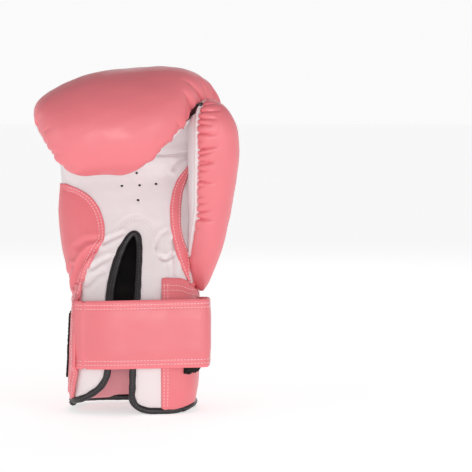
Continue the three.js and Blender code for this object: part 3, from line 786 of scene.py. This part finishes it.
def white_panel():
    stations = joined((3.0, SPLIT, 150), (SPLIT, TIP, 130))
    depth = 0.8 + 1.0 * (1 - ramp(stations, 98, 116)) - 0.5 * ramp(stations, 196, 214)
    grid, from_little, from_thumb = form_grid(stations, np.pi, 2 * np.pi, 132, depth)
    station = stations[:, None]
    scale = seam_scale(grid, station, 12)
    flat = grid[..., [0, 2]]
    height = pleats(pleat_set(31, 212, 400, 8, 0.7, 9), station, from_little, scale, 1.1)
    height += pleats(pleat_set(32, 212, 400, 8, 0.8, 10), station, from_thumb, scale, 1.1)
    height += groove(from_little, 1.2, 1.4) + groove(from_thumb, 1.2, 1.4)
    on_hand = station <= SPLIT + 6
    for deep, width, path in PALM_CREASES:
        height += np.where(on_hand, crease(flat, path, deep, width), 0)
    arc_away = away_from(flat, rounded_path(ARC, 2.0))
    height += np.where(on_hand, -0.7 * bell(arc_away, 1.2, 1.1), 0)
    height += (0.35 * waves(grid, 42, 12) + 0.16 * waves(grid, 13, 14)) * ramp(station, 60, 110)
    roll = np.sin(np.pi * np.clip(from_little / (from_little + from_thumb), 0, 1)) ** 0.5
    height += roll * (3.2 * bell(station, 228, 11) - 2.4 * bell(station, 211, 2.8))
    by_thumb = ramp(-from_thumb, -52, -24) * ramp(from_thumb, 2, 6)
    for fold, deep in [(222, 1.0), (241, 1.5), (252, 0.8)]:
        height -= deep * by_thumb * bell(station + 0.12 * from_thumb, fold, 1.7)
    past_side_edge = ramp(side_edge_x(grid[..., 2]) - grid[..., 0], 3, 6)
    under_side = past_side_edge * ramp(-station, -182, -176) * ramp(station, 93, 97)
    under_facing = ramp(grid[..., 0], RIGHT_EDGE + 3, RIGHT_EDGE + 6) * ramp(-station, -104, -98)
    height -= 2.2 * np.maximum(under_side, under_facing)
    grid = raised(grid, height)
    return thick_skin(grid, SKIN, ~in_slit(flat, station)), grid


def punch(piece, spots, radius):
    """Cuts round holes through the palm, along y."""
    across, up = np.tile([1.0, 0, 0], (2, 1)), np.tile([0, 0, -1.0], (2, 1))
    tools = []
    for x, z in spots:
        path = np.array([[x, y, z] for y in PUNCH_Y])
        tools.append(swept(path, across, up, radius, radius * 0.8, 14))
    tool = add_piece("vent_tool", made_of(tools), black_lining, "black_lining")
    cutter = piece.modifiers.new("vents", "BOOLEAN")
    cutter.operation = "DIFFERENCE"
    cutter.solver = "EXACT"
    cutter.object = tool
    bpy.context.view_layer.update()
    result = bpy.data.meshes.new_from_object(piece.evaluated_get(bpy.context.evaluated_depsgraph_get()))
    piece.modifiers.clear()
    piece.data = result
    bpy.data.objects.remove(tool)


# ---------------- side panel and gusset, pink
SIDE_EDGE = [
    (-46.5, 96), (-42.5, 110), (-36.5, 124), (-32.2, 132.5), (-27, 140), (-27.3, 153), (-31.5, 165.5),
    (-39, 175), (-49.5, 181.5), (-59, 184),
]
side_edge_x = soft_curve([z for _, z in SIDE_EDGE], [x for x, _ in SIDE_EDGE], 2.0)
# The crescent's two edges: z, left x, right x.
GUSSET_ROWS = [
    [106, 43, 44],
    [112, 39.8, 42],
    [120, 36, 43],
    [128, 32.8, 42.5],
    [136, 30.8, 39.2],
    [144, 28.8, 36.6],
    [153, 27.6, 35.2],
    [167, 27, 35.2],
    [179, 29, 36.6],
    [188.6, 32.6, 40],
    [200, 42, 43],
]
GUSSET = soft_table(GUSSET_ROWS, ["left", "right"], 2.5)


def side_panel():
    z = np.linspace(94.5, 184.2, 92)
    share = np.linspace(0, 1, 64)[None, :]
    end = palm_angle(z[:, None], side_edge_x(z)[:, None])
    start = np.pi - 0.03  # reaches under the back's padding
    share = share**1.35
    under_pad = ramp(-share, -0.06, -0.005)
    grid = surface(z[:, None], start + (end - start) * share, -0.9 + 2.9 * under_pad)
    flat = grid[..., [0, 2]]
    edge = rounded_path(SIDE_EDGE, 1.5)
    away = away_from(flat, edge)
    height = 0.9 * ramp(away, 5, 11) - 0.5 * bell(away, 4.2, 1.7)
    height += 1.4 * ramp(away, 8, 24) * ramp(z[:, None], 112, 135)
    height += crease(flat, [(-31, 134), (-38, 129.5), (-45, 121), (-48.5, 112), (-50, 102)], 2.6, 2.0)
    height += crease(flat, [(-36, 126), (-40.5, 117), (-44, 108)], 1.8, 1.4)
    height += crease(flat, [(-52, 118), (-56, 108), (-57, 100)], 1.6, 1.8)
    height += crease(flat, [(-33, 140), (-41, 139), (-48, 134)], 0.8, 2.2)
    height += 0.3 * waves(grid, 38, 41)
    height = np.maximum(height, -1.1)
    grid = raised(grid, height)
    return thick_skin(grid, SKIN), grid


def gusset():
    z = np.linspace(107, 199, 94)
    share = np.linspace(0, 1, 14)[None, :]
    start = palm_angle(z[:, None], GUSSET["left"](z)[:, None])
    end = palm_angle(z[:, None], GUSSET["right"](z)[:, None])
    grid = surface(z[:, None], start + (end - start) * share, -0.5)
    height = 0.8 * np.sin(np.pi * share) * np.sin(np.pi * np.linspace(0, 1, len(z)))[:, None]
    grid = raised(grid, height + 0.15 * waves(grid, 12, 45))
    return thick_skin(grid, SKIN), grid


# ---------------- thumb
def thumb_rows(first):
    dome = THUMB_DOME + (THUMB_TOP - THUMB_DOME) * np.sin(np.linspace(0, np.pi / 2, 60))
    below = np.linspace(first, THUMB_DOME, 2 * int(THUMB_DOME - first), endpoint=False)
    return np.concatenate([below, dome])


def thumb_grid(z, start, end, columns):
    """A grid on the thumb between two angles, each one for every height."""
    t = np.linspace(0, 1, 260)[None, :]
    fine = thumb_skin(z[:, None], start[:, None] + (end - start)[:, None] * t)
    grid, along = spread_rows(fine, columns)
    return grid, along, along[:, -1:] - along


def thumb_shell():
    z = thumb_rows(97.2)
    seam_front, seam_back = np.radians(THUMB_FRONT_SEAM(z)), np.radians(THUMB_BACK_SEAM(z) + 360)
    grid, front, back = thumb_grid(z, seam_front, seam_back, 104)
    z = z[:, None]
    fade = ramp(-z, -THUMB_TOP, -THUMB_TOP + 5) * ramp(z, 98, 110)
    height = pleats(pleat_set(51, 158, 252, 5.6, 3.2, 18), z, front, 1.0, 0.6)
    height += pleats(pleat_set(52, 112, 160, 13, 1.4, 12), z, front, 1.0, 1.2)
    height += pleats(pleat_set(53, 190, 250, 9, 1.1, 13), z, back, 1.0, 1.0)
    height += 0.6 * bell(front, 6, 5) * ramp(z, 150, 170)
    height += groove(front, 1.6, 1.3) + groove(back, 1.5, 1.5)
    height += 0.35 * waves(grid, 45, 55) + 0.1 * waves(grid, 14, 57)
    grid = raised(grid, height * fade)
    return thick_skin(grid, SKIN)


def thumb_panel():
    z = thumb_rows(112.0)
    start, end = np.radians(THUMB_BACK_SEAM(z) - 9), np.radians(THUMB_FRONT_SEAM(z) + 9)
    grid, back, front = thumb_grid(z, start, end, 60)
    z = z[:, None]
    tucked = ramp(-front, -3.6, -1.2) + ramp(-back, -3.6, -1.2)
    fade = ramp(-z, -THUMB_TOP, -THUMB_TOP + 5)
    height = -2.4 * tucked - 0.5 * bell(front, 6, 1.0) + 0.25 * waves(grid, 30, 61)
    grid = raised(grid, height * fade)
    return thick_skin(grid, SKIN), grid


# ---------------- cuff
# Height of the cuff's upper edge and of its hem at each section angle, in degrees.
CUFF_ROWS = [
    # degrees, hem, top
    [-80, 3.2, 109.5],
    [-50, 4.1, 109],
    [-40, 5.0, 106],
    [-20, 7.0, 104],
    [0, 6.6, 101],
    [45, 5.4, 98.5],
    [90, 5.2, 97],
    [140, 5.4, 95],
    [165, 5.9, 95],
    [182, 6.9, 97],
    [200, 8.6, 100],
    [228, 14, 104.5],
]
CUFF = soft_table(CUFF_ROWS, ["hem", "top"], 5)
LEFT_EDGE = soft_curve([0, 14, 40, 90, 110], [-52.5, -51.6, -47, -46.3, -45.2], 3)
RIGHT_EDGE = 21.0
CUFF_COLUMNS = 250
CUFF_LINES = 84
CUFF_MIDDLE = 57.0  # the height at which the cuff's columns are spaced evenly


def cuff_angles(count):
    first = palm_angle(CUFF_MIDDLE, RIGHT_EDGE) - 2 * np.pi
    fine = np.linspace(first, palm_angle(CUFF_MIDDLE, -47.0), 900)
    points = surface(np.full((1, 1), CUFF_MIDDLE), fine[None, :])
    arc = arc_along(points[0])
    return np.interp(np.linspace(0, arc[-1], count), arc, fine), arc[-1]


def cuff_relief(points):
    """The unevenness that the cuff's leather shares with the tape sewn on it."""
    return 0.5 * waves(points, 60, 72) + 0.12 * waves(points, 15, 73)


def cuff_shell():
    middle_angles, length = cuff_angles(CUFF_COLUMNS)
    share = np.linspace(0, 1, CUFF_LINES)[:, None]
    degrees = np.degrees(middle_angles)[None, :]
    z = CUFF["hem"](degrees) + (CUFF["top"](degrees) - CUFF["hem"](degrees)) * share
    first, last = palm_angle(z, RIGHT_EDGE) - 2 * np.pi, palm_angle(z, LEFT_EDGE(z))
    position = (middle_angles - middle_angles[0]) / (middle_angles[-1] - middle_angles[0])
    near_first, near_last = 1 - ramp(position, 0, 0.16), ramp(position, 0.8, 1)
    angle = middle_angles[None, :] + (first - middle_angles[0]) * near_first
    angle = angle + (last - middle_angles[-1]) * near_last
    along = np.linspace(0, length, CUFF_COLUMNS)[None, :]
    below_top = CUFF["top"](degrees) - z
    under_pad = ramp(along, 40, 75) * ramp(length - along, 18, 40)
    tuck = 6.0 * under_pad * np.clip(1 - below_top / 5.5, 0, 1) ** 1.6
    grid = surface(z, angle, -0.3 + tuck)
    ruffles = pleats(pleat_set(71, 30, length, 4.6, 1.5, 11), along, below_top, 1.0, 1.0)
    height = ruffles * ramp(along, 24, 60)
    height += 1.3 * bell(below_top, 6, 3.2) * ramp(along, 20, 50)
    height += cuff_relief(grid)
    unrolled = np.stack([along + 0 * z, z], -1)
    folds = crease(unrolled, [(28, 107), (42, 101), (62, 97)], 1.6, 2.0)
    folds += crease(unrolled, [(34, 103), (46, 96), (58, 95)], 1.2, 1.5)
    edge = bell(along, 0, 1.5) + bell(along, length, 1.5)
    height += folds - 0.3 * edge + 0.4 * bell(along, 3.0, 2.4)
    grid = raised(grid, height)
    return thick_skin(grid, SKIN), grid


BACK_LINING = (math.radians(28), math.radians(205))  # the part of the cuff's lining that is pink


def lining(first, last, rows, pink=None):
    """The room's wall over a stretch, open at the slit. pink keeps only that part of it, or the rest."""
    stations = np.linspace(first, last, rows)
    t = np.linspace(0, 2 * np.pi, 181)[:-1]
    grid = room(stations[:, None], t[None, :])
    wide = np.concatenate([grid, grid[:, :1]], axis=1)[..., [0, 2]]
    half_step = np.pi / 180
    on_palm_side = (np.sin(t + half_step) < 0)[None, :]
    keep = ~(in_slit(wide, stations[:, None]) & on_palm_side)
    if pink is not None:
        in_back = ((t + half_step > BACK_LINING[0]) & (t + half_step < BACK_LINING[1]))[None, :]
        keep &= in_back if pink else ~in_back
    grid = raised(grid, 0.5 * waves(grid, 30, 81), True)
    return thick_skin(grid, 0.8, keep, closed=True)


def edge_binding(path, up, seed, half_across=2.75, half_up=2.25):
    """Folded binding along an edge: wider than it is thick, a little uneven."""
    tangent = unit(np.gradient(path, axis=0))
    across = unit(np.cross(tangent, up))
    arc = np.cumsum(np.linalg.norm(np.gradient(path, axis=0), axis=1))
    rng = np.random.default_rng(seed)
    uneven = sum(np.sin(arc * 2 * np.pi / rng.uniform(6, 22) + rng.uniform(0, 6)) for _ in range(5)) / 5
    return swept(path, across, up, half_across + 0.28 * uneven, half_up + 0.2 * np.roll(uneven, 9), 14)


def slit_binding():
    x, z = slit_line.T
    path = on_palm(x, z, 1.5)
    up = unit(on_palm(x, z, 0.0) - on_palm(x, z, 1.0))
    wider = 0.7 * ramp(-x, 8, 16) * ramp(z, 30, 60)
    return edge_binding(path, up, 91, 2.75 + wider), path + 2.3 * up, up


def hem_binding():
    first = palm_angle(4.0, 38.0) - 2 * np.pi
    angle = np.linspace(first, math.radians(201), 900)
    z = CUFF["hem"](np.degrees(angle)) - 0.9
    both = even(np.concatenate([surface(z, angle, 1.6), surface(z, angle, 0.6)], axis=1), 1.7)
    path, outer = both[:, :3], both[:, 3:]
    up = unit(outer - path)
    return edge_binding(path, up, 92, 2.75, 2.9), path + 2.9 * up, up


# ---------------- strap
STRAP_FRONT_Y = -44.6
STRAP_SIDE_X = 58.0
STRAP_BACK_Y = 55.4
FRONT_CORNER = 6.0
BACK_CORNER = 28.0
STRAP_TIP_X = -36.0
STRAP_ROOT = (-49, -33.5)  # where it starts, in x and y
STRAP_PULL_X = -38  # the corner that its first stretch bends towards
STRAP_FLAT_X = -14  # where that stretch has become straight
ROOT_STEPS = 60  # points of the first stretch
ARC_STEPS = 40  # points of each corner
STRAP_Z = (41.0, 93.0)
STRAP_TALL = STRAP_Z[1] - STRAP_Z[0]
STRAP_DROP = [2.5, 0, 6, 13]  # how far it drops at its root, its two bends and its tip
ROOT_PART = 9.5  # the length that bends there


def strap_line():
    """The strap's middle line from above, and the distances along it of its two bends."""
    t = np.linspace(0, 1, ROOT_STEPS)[:, None]
    root, pull = np.array(STRAP_ROOT), np.array([STRAP_PULL_X, STRAP_FRONT_Y])
    flat = np.array([STRAP_FLAT_X, STRAP_FRONT_Y])
    bezier = (1 - t) ** 2 * root + 2 * t * (1 - t) * pull + t**2 * flat
    turn = np.linspace(0, np.pi / 2, ARC_STEPS)[:, None]
    front = np.array([STRAP_SIDE_X - FRONT_CORNER, STRAP_FRONT_Y + FRONT_CORNER])
    back = np.array([STRAP_SIDE_X - BACK_CORNER, STRAP_BACK_Y - BACK_CORNER])
    front_arc = front + FRONT_CORNER * np.concatenate([np.sin(turn), -np.cos(turn)], axis=1)
    back_arc = back + BACK_CORNER * np.concatenate([np.cos(turn), np.sin(turn)], axis=1)
    path = np.concatenate([bezier, front_arc, back_arc, [[STRAP_TIP_X, STRAP_BACK_Y]]])
    arc = arc_along(path)
    front_middle = ROOT_STEPS + ARC_STEPS // 2
    return path, arc, arc[front_middle], arc[front_middle + ARC_STEPS]


strap_path, strap_arc, FRONT_BEND, BACK_BEND = strap_line()
STRAP_END = strap_arc[-1]


def strap_at(s, off=0.0):
    """A point over the strap's middle line, and the outward direction there, both seen from above."""
    here, ahead, behind = (read_along(s + shift, strap_arc, strap_path) for shift in (0, 0.5, -0.5))
    dx, dy = np.moveaxis(ahead - behind, -1, 0)
    size = np.hypot(dx, dy)
    return here[..., 0] + dy / size * off, here[..., 1] - dx / size * off, dy / size, -dx / size


def strap_drop(s):
    return np.interp(s, [0, FRONT_BEND, BACK_BEND, STRAP_END], STRAP_DROP)


def strap_surface(s, up, off):
    """A point of the strap: up runs from 0 at its lower edge to 1 at its upper edge."""
    x, y, _, _ = strap_at(s, off)
    z = STRAP_Z[0] + STRAP_TALL * up - strap_drop(s)
    return np.stack(np.broadcast_arrays(x, y, z), -1)


def strap_height(s, up):
    """How far the strap's face swells between its stitched edges."""
    edge = np.minimum(up, 1 - up) * STRAP_TALL
    swell = 0.5 * ramp(edge, 5, 14)
    for row in (1.9, 5.0):
        swell = swell - 0.35 * bell(edge, row, 0.85)
    points = np.stack(np.broadcast_arrays(s + 0 * up, STRAP_TALL * up + 0 * s, 0 * s + 0 * up), -1)
    return swell + 0.14 * waves(points, 55, 101) + 0.06 * waves(points, 11, 102)


def strap_band(first, last):
    """One length of the strap. Its ends are square where it meets the next length."""
    square = [column for column, end in ((0, first > 0), (-1, last < STRAP_END)) if end]
    count = max(3, int((last - first) / 1.3))
    s = np.linspace(first, last, count)[None, :]
    up = np.linspace(0, 1, 52)[:, None]
    peel = 2.2 * ramp(s, STRAP_END - 16, STRAP_END + 4) * ramp(up, 0.3, 1.0)
    grid = strap_surface(s, up, BAND_T / 2 + strap_height(s, up) + peel)
    return thick_skin(grid, BAND_T, square=square)


def strap_row(first, last, edge):
    """A line along the strap, edge millimetres from its lower edge, or from its upper one if negative."""
    s = np.arange(first, last, 0.8)
    up = np.full(len(s), edge / STRAP_TALL % 1.0)
    points = strap_surface(s, up, BAND_T / 2 + strap_height(s, up) + 0.05)
    _, _, nx, ny = strap_at(s)
    return points, np.stack([nx, ny, np.zeros(len(s))], -1)


# ---------------- make the pieces
back_and_fist = add_piece(
    "padded_back_and_fist", fist_shell(), pink_leather, "pink_leather",
    ["back_shell", "back_pad", "knuckle_shell", "knuckle_pad", "fingertip_pad"],
)
bends_with_fist(back_and_fist)

palm_solid, palm_grid = white_panel()
palm = add_piece(
    "palm_and_finger_panel", palm_solid, white_leather, "white_leather",
    ["palm_panel", "palm_foam", "finger_panel", "finger_pad"],
)
punch(palm, VENTS, VENT_R)
bends_with_fist(palm)

side_solid, side_grid = side_panel()
on_hand("side_panel_leather", side_solid, panel_leather, "pink_leather", ["side_panel"])
gusset_solid, gusset_grid = gusset()
on_hand("thumb_gusset_leather", gusset_solid, panel_leather, "pink_leather", ["thumb_gusset"])

thumb = add_piece("padded_thumb", thumb_shell(), pink_leather, "pink_leather", ["thumb_shell", "thumb_pad"])
bends_with_thumb(thumb)
thumb_panel_solid, thumb_panel_grid = thumb_panel()
thumb_details = (white_leather, "white_leather", ["thumb_panel"])
bends_with_thumb(add_piece("thumb_inner_panel", thumb_panel_solid, *thumb_details))

cuff_solid, cuff_grid = cuff_shell()
cuff_nodes = ["cuff_shell", "cuff_foam", "wrist_welt"]
cuff = on_hand("cuff_leather", cuff_solid, strap_leather, "pink_leather", cuff_nodes)

on_hand("cuff_lining_leather", lining(4.8, 60, 50, True), facing_leather, "pink_leather", ["cuff_lining"])
on_hand("flap_lining_cloth", lining(4.8, 60, 50, False), black_lining, "black_lining")
on_hand("hand_lining_cloth", lining(59.6, 206.5, 96), black_lining, "black_lining", ["hand_lining"])

slit_solid, slit_top, slit_up = slit_binding()
on_hand("slit_binding_tape", slit_solid, binding_leather, "black_binding", ["slit_binding"])
hem_solid, hem_top, hem_up = hem_binding()
on_hand("hem_binding_tape", hem_solid, binding_leather, "black_binding", ["hem_binding"])

SIDE_MIDDLE = (FRONT_BEND + BACK_BEND) / 2
TIP_START = BACK_BEND + 24
# The strap's four lengths, from its root to its tip.
STRAP_PARTS = {
    "root": (0.0, ROOT_PART),
    "front": (ROOT_PART, SIDE_MIDDLE),
    "side": (SIDE_MIDDLE, TIP_START),
    "tip": (TIP_START, STRAP_END),
}


def strap_blend(piece):
    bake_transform(piece)


def hang_strap(pieces):
    """Takes the strap's four lengths by name: bakes the transforms of the root, front and side, and puts
    the tip on the strap_tip body.
    """
    strap_blend(pieces["root"])
    strap_blend(pieces["front"])
    strap_blend(pieces["side"])
    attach(pieces["tip"], "strap_tip")


strap_bands = {}
for part, (first, last) in STRAP_PARTS.items():
    details = (strap_leather, "pink_leather", ["strap_" + part], 50)
    strap_bands[part] = add_piece("strap_" + part + "_leather", strap_band(first, last), *details)
hang_strap(strap_bands)


# ---------------- tape over the strap's root
TAPE_WIDTH = 11.0


def root_tape():
    """The narrow stitched tape down the cuff's front corner, over the strap's root."""
    z = np.linspace(16, 104, 110)[:, None]
    share = np.linspace(0, 1, 12)[None, :]
    start = palm_angle(z, LEFT_EDGE(z) + 0.8)
    fine = surface(z, start + (np.pi - start) * np.linspace(0, 1, 400)[None, :])
    arc = np.cumsum(np.linalg.norm(np.diff(fine, axis=1), axis=2), axis=1)
    end = start + (np.pi - start) * ((arc < TAPE_WIDTH).sum(axis=1) / 399)[:, None]
    over_strap = ramp(z, STRAP_Z[0] - 8, STRAP_Z[0] - 1) * ramp(-z, -STRAP_Z[1] - 4, -STRAP_Z[1] + 3)
    lift = 1.5 + 4.4 * over_strap * ramp(share, 0.1, 0.8)
    grid = surface(z, end + (start - end) * share, -lift)
    height = 0.25 * waves(grid, 9, 111) + cuff_relief(grid)
    for row in (0.28, 0.72):
        height = height - 0.3 * bell(share, row, 0.08)
    grid = raised(grid, height)
    return thick_skin(grid, 1.5), grid


tape_solid, tape_grid = root_tape()
on_hand("root_tape_leather", tape_solid, strap_leather, "pink_leather", ["root_tape"])


# ---------------- hook and loop
LOOP_LOW = 28  # lower edge of the loop tape at the little finger's side
LOOP_TALL = 51


def loop_patch():
    """Fuzzy loop tape on the cuff: a grid with a rough face, wavy edges and a slanted front end."""
    first = palm_angle(50.0, 39.0) - 2 * np.pi
    up = np.linspace(0, 1, 84)[:, None]
    last = np.pi + 0.115 + 0.06 * (1 - up)
    angles = first + (np.pi + 0.2 - first) * np.linspace(0, 1, 900)
    points = surface(np.full((1, 1), 53.0), angles[None, :])
    arc = arc_along(points[0])
    end = np.interp(last, angles, arc)
    angle = np.interp(end * np.linspace(0, 1, 300)[None, :], arc, angles)
    rise = np.interp(angle, [first, 0.8, 2.4], [5.3, 7.0, 0.5])
    edge = 0.35 * np.sin(angle * 23) + 0.2 * np.sin(angle * 41)
    z = LOOP_LOW + rise + LOOP_TALL * up + edge * (2 * up - 1)
    grid = surface(z, angle, -1.7)
    rng = np.random.default_rng(121)
    height = cuff_relief(grid) + 0.16 * rng.normal(size=grid.shape[:2])
    from_seam = (up - 0.52) * LOOP_TALL
    height = height - 0.4 * bell(from_seam, 0, 0.8)
    grid = raised(grid, height)
    return thick_skin(grid, 1.5)


on_hand("loop_tape_pile", loop_patch(), loop_pile, "loop_tape", ["loop_tape"])


# ---------------- thumb tie
TIE_ROUTE = [
    (42.2, -24.6, 240.6), (44.5, -26.6, 243), (47.5, -28.5, 245.4), (51, -29, 247.5), (54, -27, 249),
]


def thumb_tie():
    """A short doubled tape from the fist to the thumb."""
    path = even(rounded_path(TIE_ROUTE, 0.8), 0.8)
    tangent = unit(np.gradient(path, axis=0))
    up = unit(np.cross(tangent, np.tile([0.45, 0.2, 0.9], (len(path), 1))))
    return swept(path, unit(np.cross(tangent, up)), up, 3.6, 0.8, 14)


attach(add_piece("thumb_tie_tape", thumb_tie(), binding_leather, "black_binding", ["thumb_tie"]), "thumb")


# ---------------- stitching
def drape(path, grid):
    """A path in x and z laid on a grid's surface: points and outward directions."""
    points, ups = grid.reshape(-1, 3), normals_of(grid).reshape(-1, 3)
    away = np.linalg.norm(path[:, None] - points[None, :, [0, 2]], axis=2)
    nearest = np.argsort(away, axis=1)[:, :4]
    weight = 1 / (np.take_along_axis(away, nearest, axis=1) + 0.05) ** 2
    weight = (weight / weight.sum(axis=1, keepdims=True))[..., None]
    laid = (points[nearest] * weight).sum(axis=1)
    laid[:, [0, 2]] = path
    return laid, unit((ups[nearest] * weight).sum(axis=1))


def beside(path, offset):
    """A path in x and z moved sideways: to its left for a positive offset."""
    ahead = unit(np.gradient(path, axis=0))
    return even(path + offset * np.stack([-ahead[:, 1], ahead[:, 0]], -1), 1.0)


def grid_line(grid, row, column):
    """Points and outward directions at fractional rows and columns of a grid."""
    row, column = np.broadcast_arrays(np.asarray(row, float), np.asarray(column, float))
    r = np.clip(row.astype(int), 0, grid.shape[0] - 2)
    c = np.clip(column.astype(int), 0, grid.shape[1] - 2)
    a, b = (row - r)[:, None], (column - c)[:, None]
    mixed_values = []
    for values in (grid, normals_of(grid)):
        low_row = values[r, c] * (1 - b) + values[r, c + 1] * b
        high_row = values[r + 1, c] * (1 - b) + values[r + 1, c + 1] * b
        mixed_values.append(low_row * (1 - a) + high_row * a)
    return mixed_values[0], unit(mixed_values[1])


def sew(name, lines, material, slot):
    """Rows of stitches as one piece; each line is points and outward directions."""
    return add_piece(name, made_of([stitches(points, up) for points, up in lines]), material, slot)


def column_line(grid, column):
    return grid_line(grid, np.arange(grid.shape[0] - 1), np.full(grid.shape[0] - 1, column))


side_path = rounded_path(SIDE_EDGE, 1.0)
sewn_side = [drape(beside(side_path, offset), side_grid) for offset in (1.7, 4.3)]
sewn_gusset = [column_line(gusset_grid, column) for column in (2.2, 10.8)]
arc_path = rounded_path(ARC, 1.0)
slit_path = rounded_path(SLIT_EDGE, 1.0)
left_flap = beside(slit_path[12:150], 4.4)
right_flap = beside(slit_path[190:], 4.4)
sewn_palm = [drape(arc_path, palm_grid), drape(beside(arc_path, -2.6), palm_grid)]
sewn_palm += [drape(left_flap, palm_grid), drape(right_flap, palm_grid)]

cuff_columns = np.arange(0, CUFF_COLUMNS - 1, 0.5)
cuff_top = CUFF_LINES - 2.0
cuff_rows = [grid_line(cuff_grid, cuff_top - below, cuff_columns) for below in (6.5, 3.6)]
facing_lines = np.arange(2, cuff_top, 0.5)
facing_rows = [grid_line(cuff_grid, facing_lines, column) for column in (1.6, 4.6)]
sewn_cuff = cuff_rows + facing_rows + [column_line(tape_grid, column) for column in (3.3, 8.0)]

sewn_bindings = [(slit_top, slit_up), (hem_top, hem_up)]
HAND_STITCHES = [
    ("side_panel_stitches", sewn_side, pink_thread, "pink_leather"),
    ("gusset_stitches", sewn_gusset, pink_thread, "pink_leather"),
    ("palm_stitches", sewn_palm, white_thread, "white_leather"),
    ("cuff_stitches", sewn_cuff, pink_thread, "pink_leather"),
    ("binding_stitches", sewn_bindings, black_thread, "black_binding"),
]
for details in HAND_STITCHES:
    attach(sew(*details), "hand")
thumb_row = column_line(thumb_panel_grid, 52.0)
bends_with_thumb(sew("thumb_stitches", [thumb_row], white_thread, "white_leather"))

STRAP_ROWS = [1.9, 5.0, -5.0, -1.9]
strap_sewn = {}
for part, (first, last) in STRAP_PARTS.items():
    rows = [strap_row(first + 0.3, last - 0.3, edge) for edge in STRAP_ROWS]
    strap_sewn[part] = sew("strap_" + part + "_stitches", rows, pink_thread, "pink_leather")
hang_strap(strap_sewn)

# ---------------- carried-over nodes
CARRIED = {"grip_bar": grey_foam, "finger_lining": black_lining, "hook_tape": hook_pile}
for node, material in CARRIED.items():
    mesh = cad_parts[node].data
    mesh.materials.clear()
    mesh.materials.append(material)

# ---------------- floor, light and camera
VIEW_DISTANCE = 1.9
VIEW_ELEVATION = math.radians(3.2)
FRAME_X = 0.001 * (80.7 + CENTRE[0])  # the frame's middle, to the glove's right
FRAME_Z = 0.1427
LENS = 177.0
FLOOR_HALF = 30
FLOOR_GLOW = 0.56
SKY_STRENGTH = 0.96
# Bright walls under a dimmer ceiling: height of the direction and colour.
SKY_STOPS = [(0.08, (1.0, 1.0, 1.0)), (0.4, (0.5, 0.5, 0.5)), (1.0, (0.22, 0.22, 0.22))]
# Soft lights: name, place, target, size and power.
LIGHTS = [
    ("front", (0.081, -1.78, 0.1), (0, 0, 0.12), (0.5, 0.5), 8),
    ("key", (1.0, -1.2, 0.3), (0, 0, 0.16), (0.4, 0.9), 4),
    ("fill", (-1.3, -0.8, 0.2), (0, 0, 0.14), (0.4, 0.9), 2.5),
    ("back", (0.3, 1.5, 1.2), (0, 0, 0.15), (1.2, 0.8), 2.5),
]


def aim(thing, target):
    thing.rotation_euler = (Vector(target) - thing.location).to_track_quat("-Z", "Y").to_euler()


def add_light(name, location, target, size, power):
    data = bpy.data.lights.new(name, "AREA")
    data.shape = "RECTANGLE"
    data.size, data.size_y = size
    data.energy = power
    light = bpy.data.objects.new(name, data)
    light.location = location
    bpy.context.scene.collection.objects.link(light)
    aim(light, target)


def add_floor():
    mesh = bpy.data.meshes.new("floor")
    corners = [(x * FLOOR_HALF, y * FLOOR_HALF, 0) for x, y in ((-1, -1), (1, -1), (1, 1), (-1, 1))]
    mesh.from_pydata(corners, [], [(0, 1, 2, 3)])
    material, _, shader, _ = new_material("floor_paper")
    set_inputs(shader, {"Base Color": (0.93, 0.93, 0.93, 1), "Roughness": 0.9})
    set_inputs(shader, {"Emission Color": (1, 1, 1, 1), "Emission Strength": FLOOR_GLOW})
    mesh.materials.append(material)
    floor = bpy.data.objects.new("floor", mesh)
    bpy.context.scene.collection.objects.link(floor)


def add_sky():
    world = bpy.data.worlds.new("studio")
    bpy.context.scene.world = world
    world.use_nodes = True
    tree = world.node_tree
    background = tree.nodes["Background"]
    background.inputs["Strength"].default_value = SKY_STRENGTH
    direction = tree.nodes.new("ShaderNodeTexCoord")
    axes = tree.nodes.new("ShaderNodeSeparateXYZ")
    tree.links.new(direction.outputs["Generated"], axes.inputs["Vector"])
    tree.links.new(colour_ramp(tree, axes.outputs["Z"], SKY_STOPS), background.inputs["Color"])


add_floor()
add_sky()
for light_details in LIGHTS:
    add_light(*light_details)

camera_data = bpy.data.cameras.new("camera")
camera_data.lens = LENS
camera_data.sensor_width = 36
camera = bpy.data.objects.new("camera", camera_data)
bpy.context.scene.collection.objects.link(camera)
camera.location = (
    FRAME_X,
    -VIEW_DISTANCE * math.cos(VIEW_ELEVATION),
    FRAME_Z + VIEW_DISTANCE * math.sin(VIEW_ELEVATION),
)
aim(camera, (FRAME_X, 0, FRAME_Z))
bpy.context.scene.camera = camera
bpy.context.scene.view_settings.view_transform = "Standard"
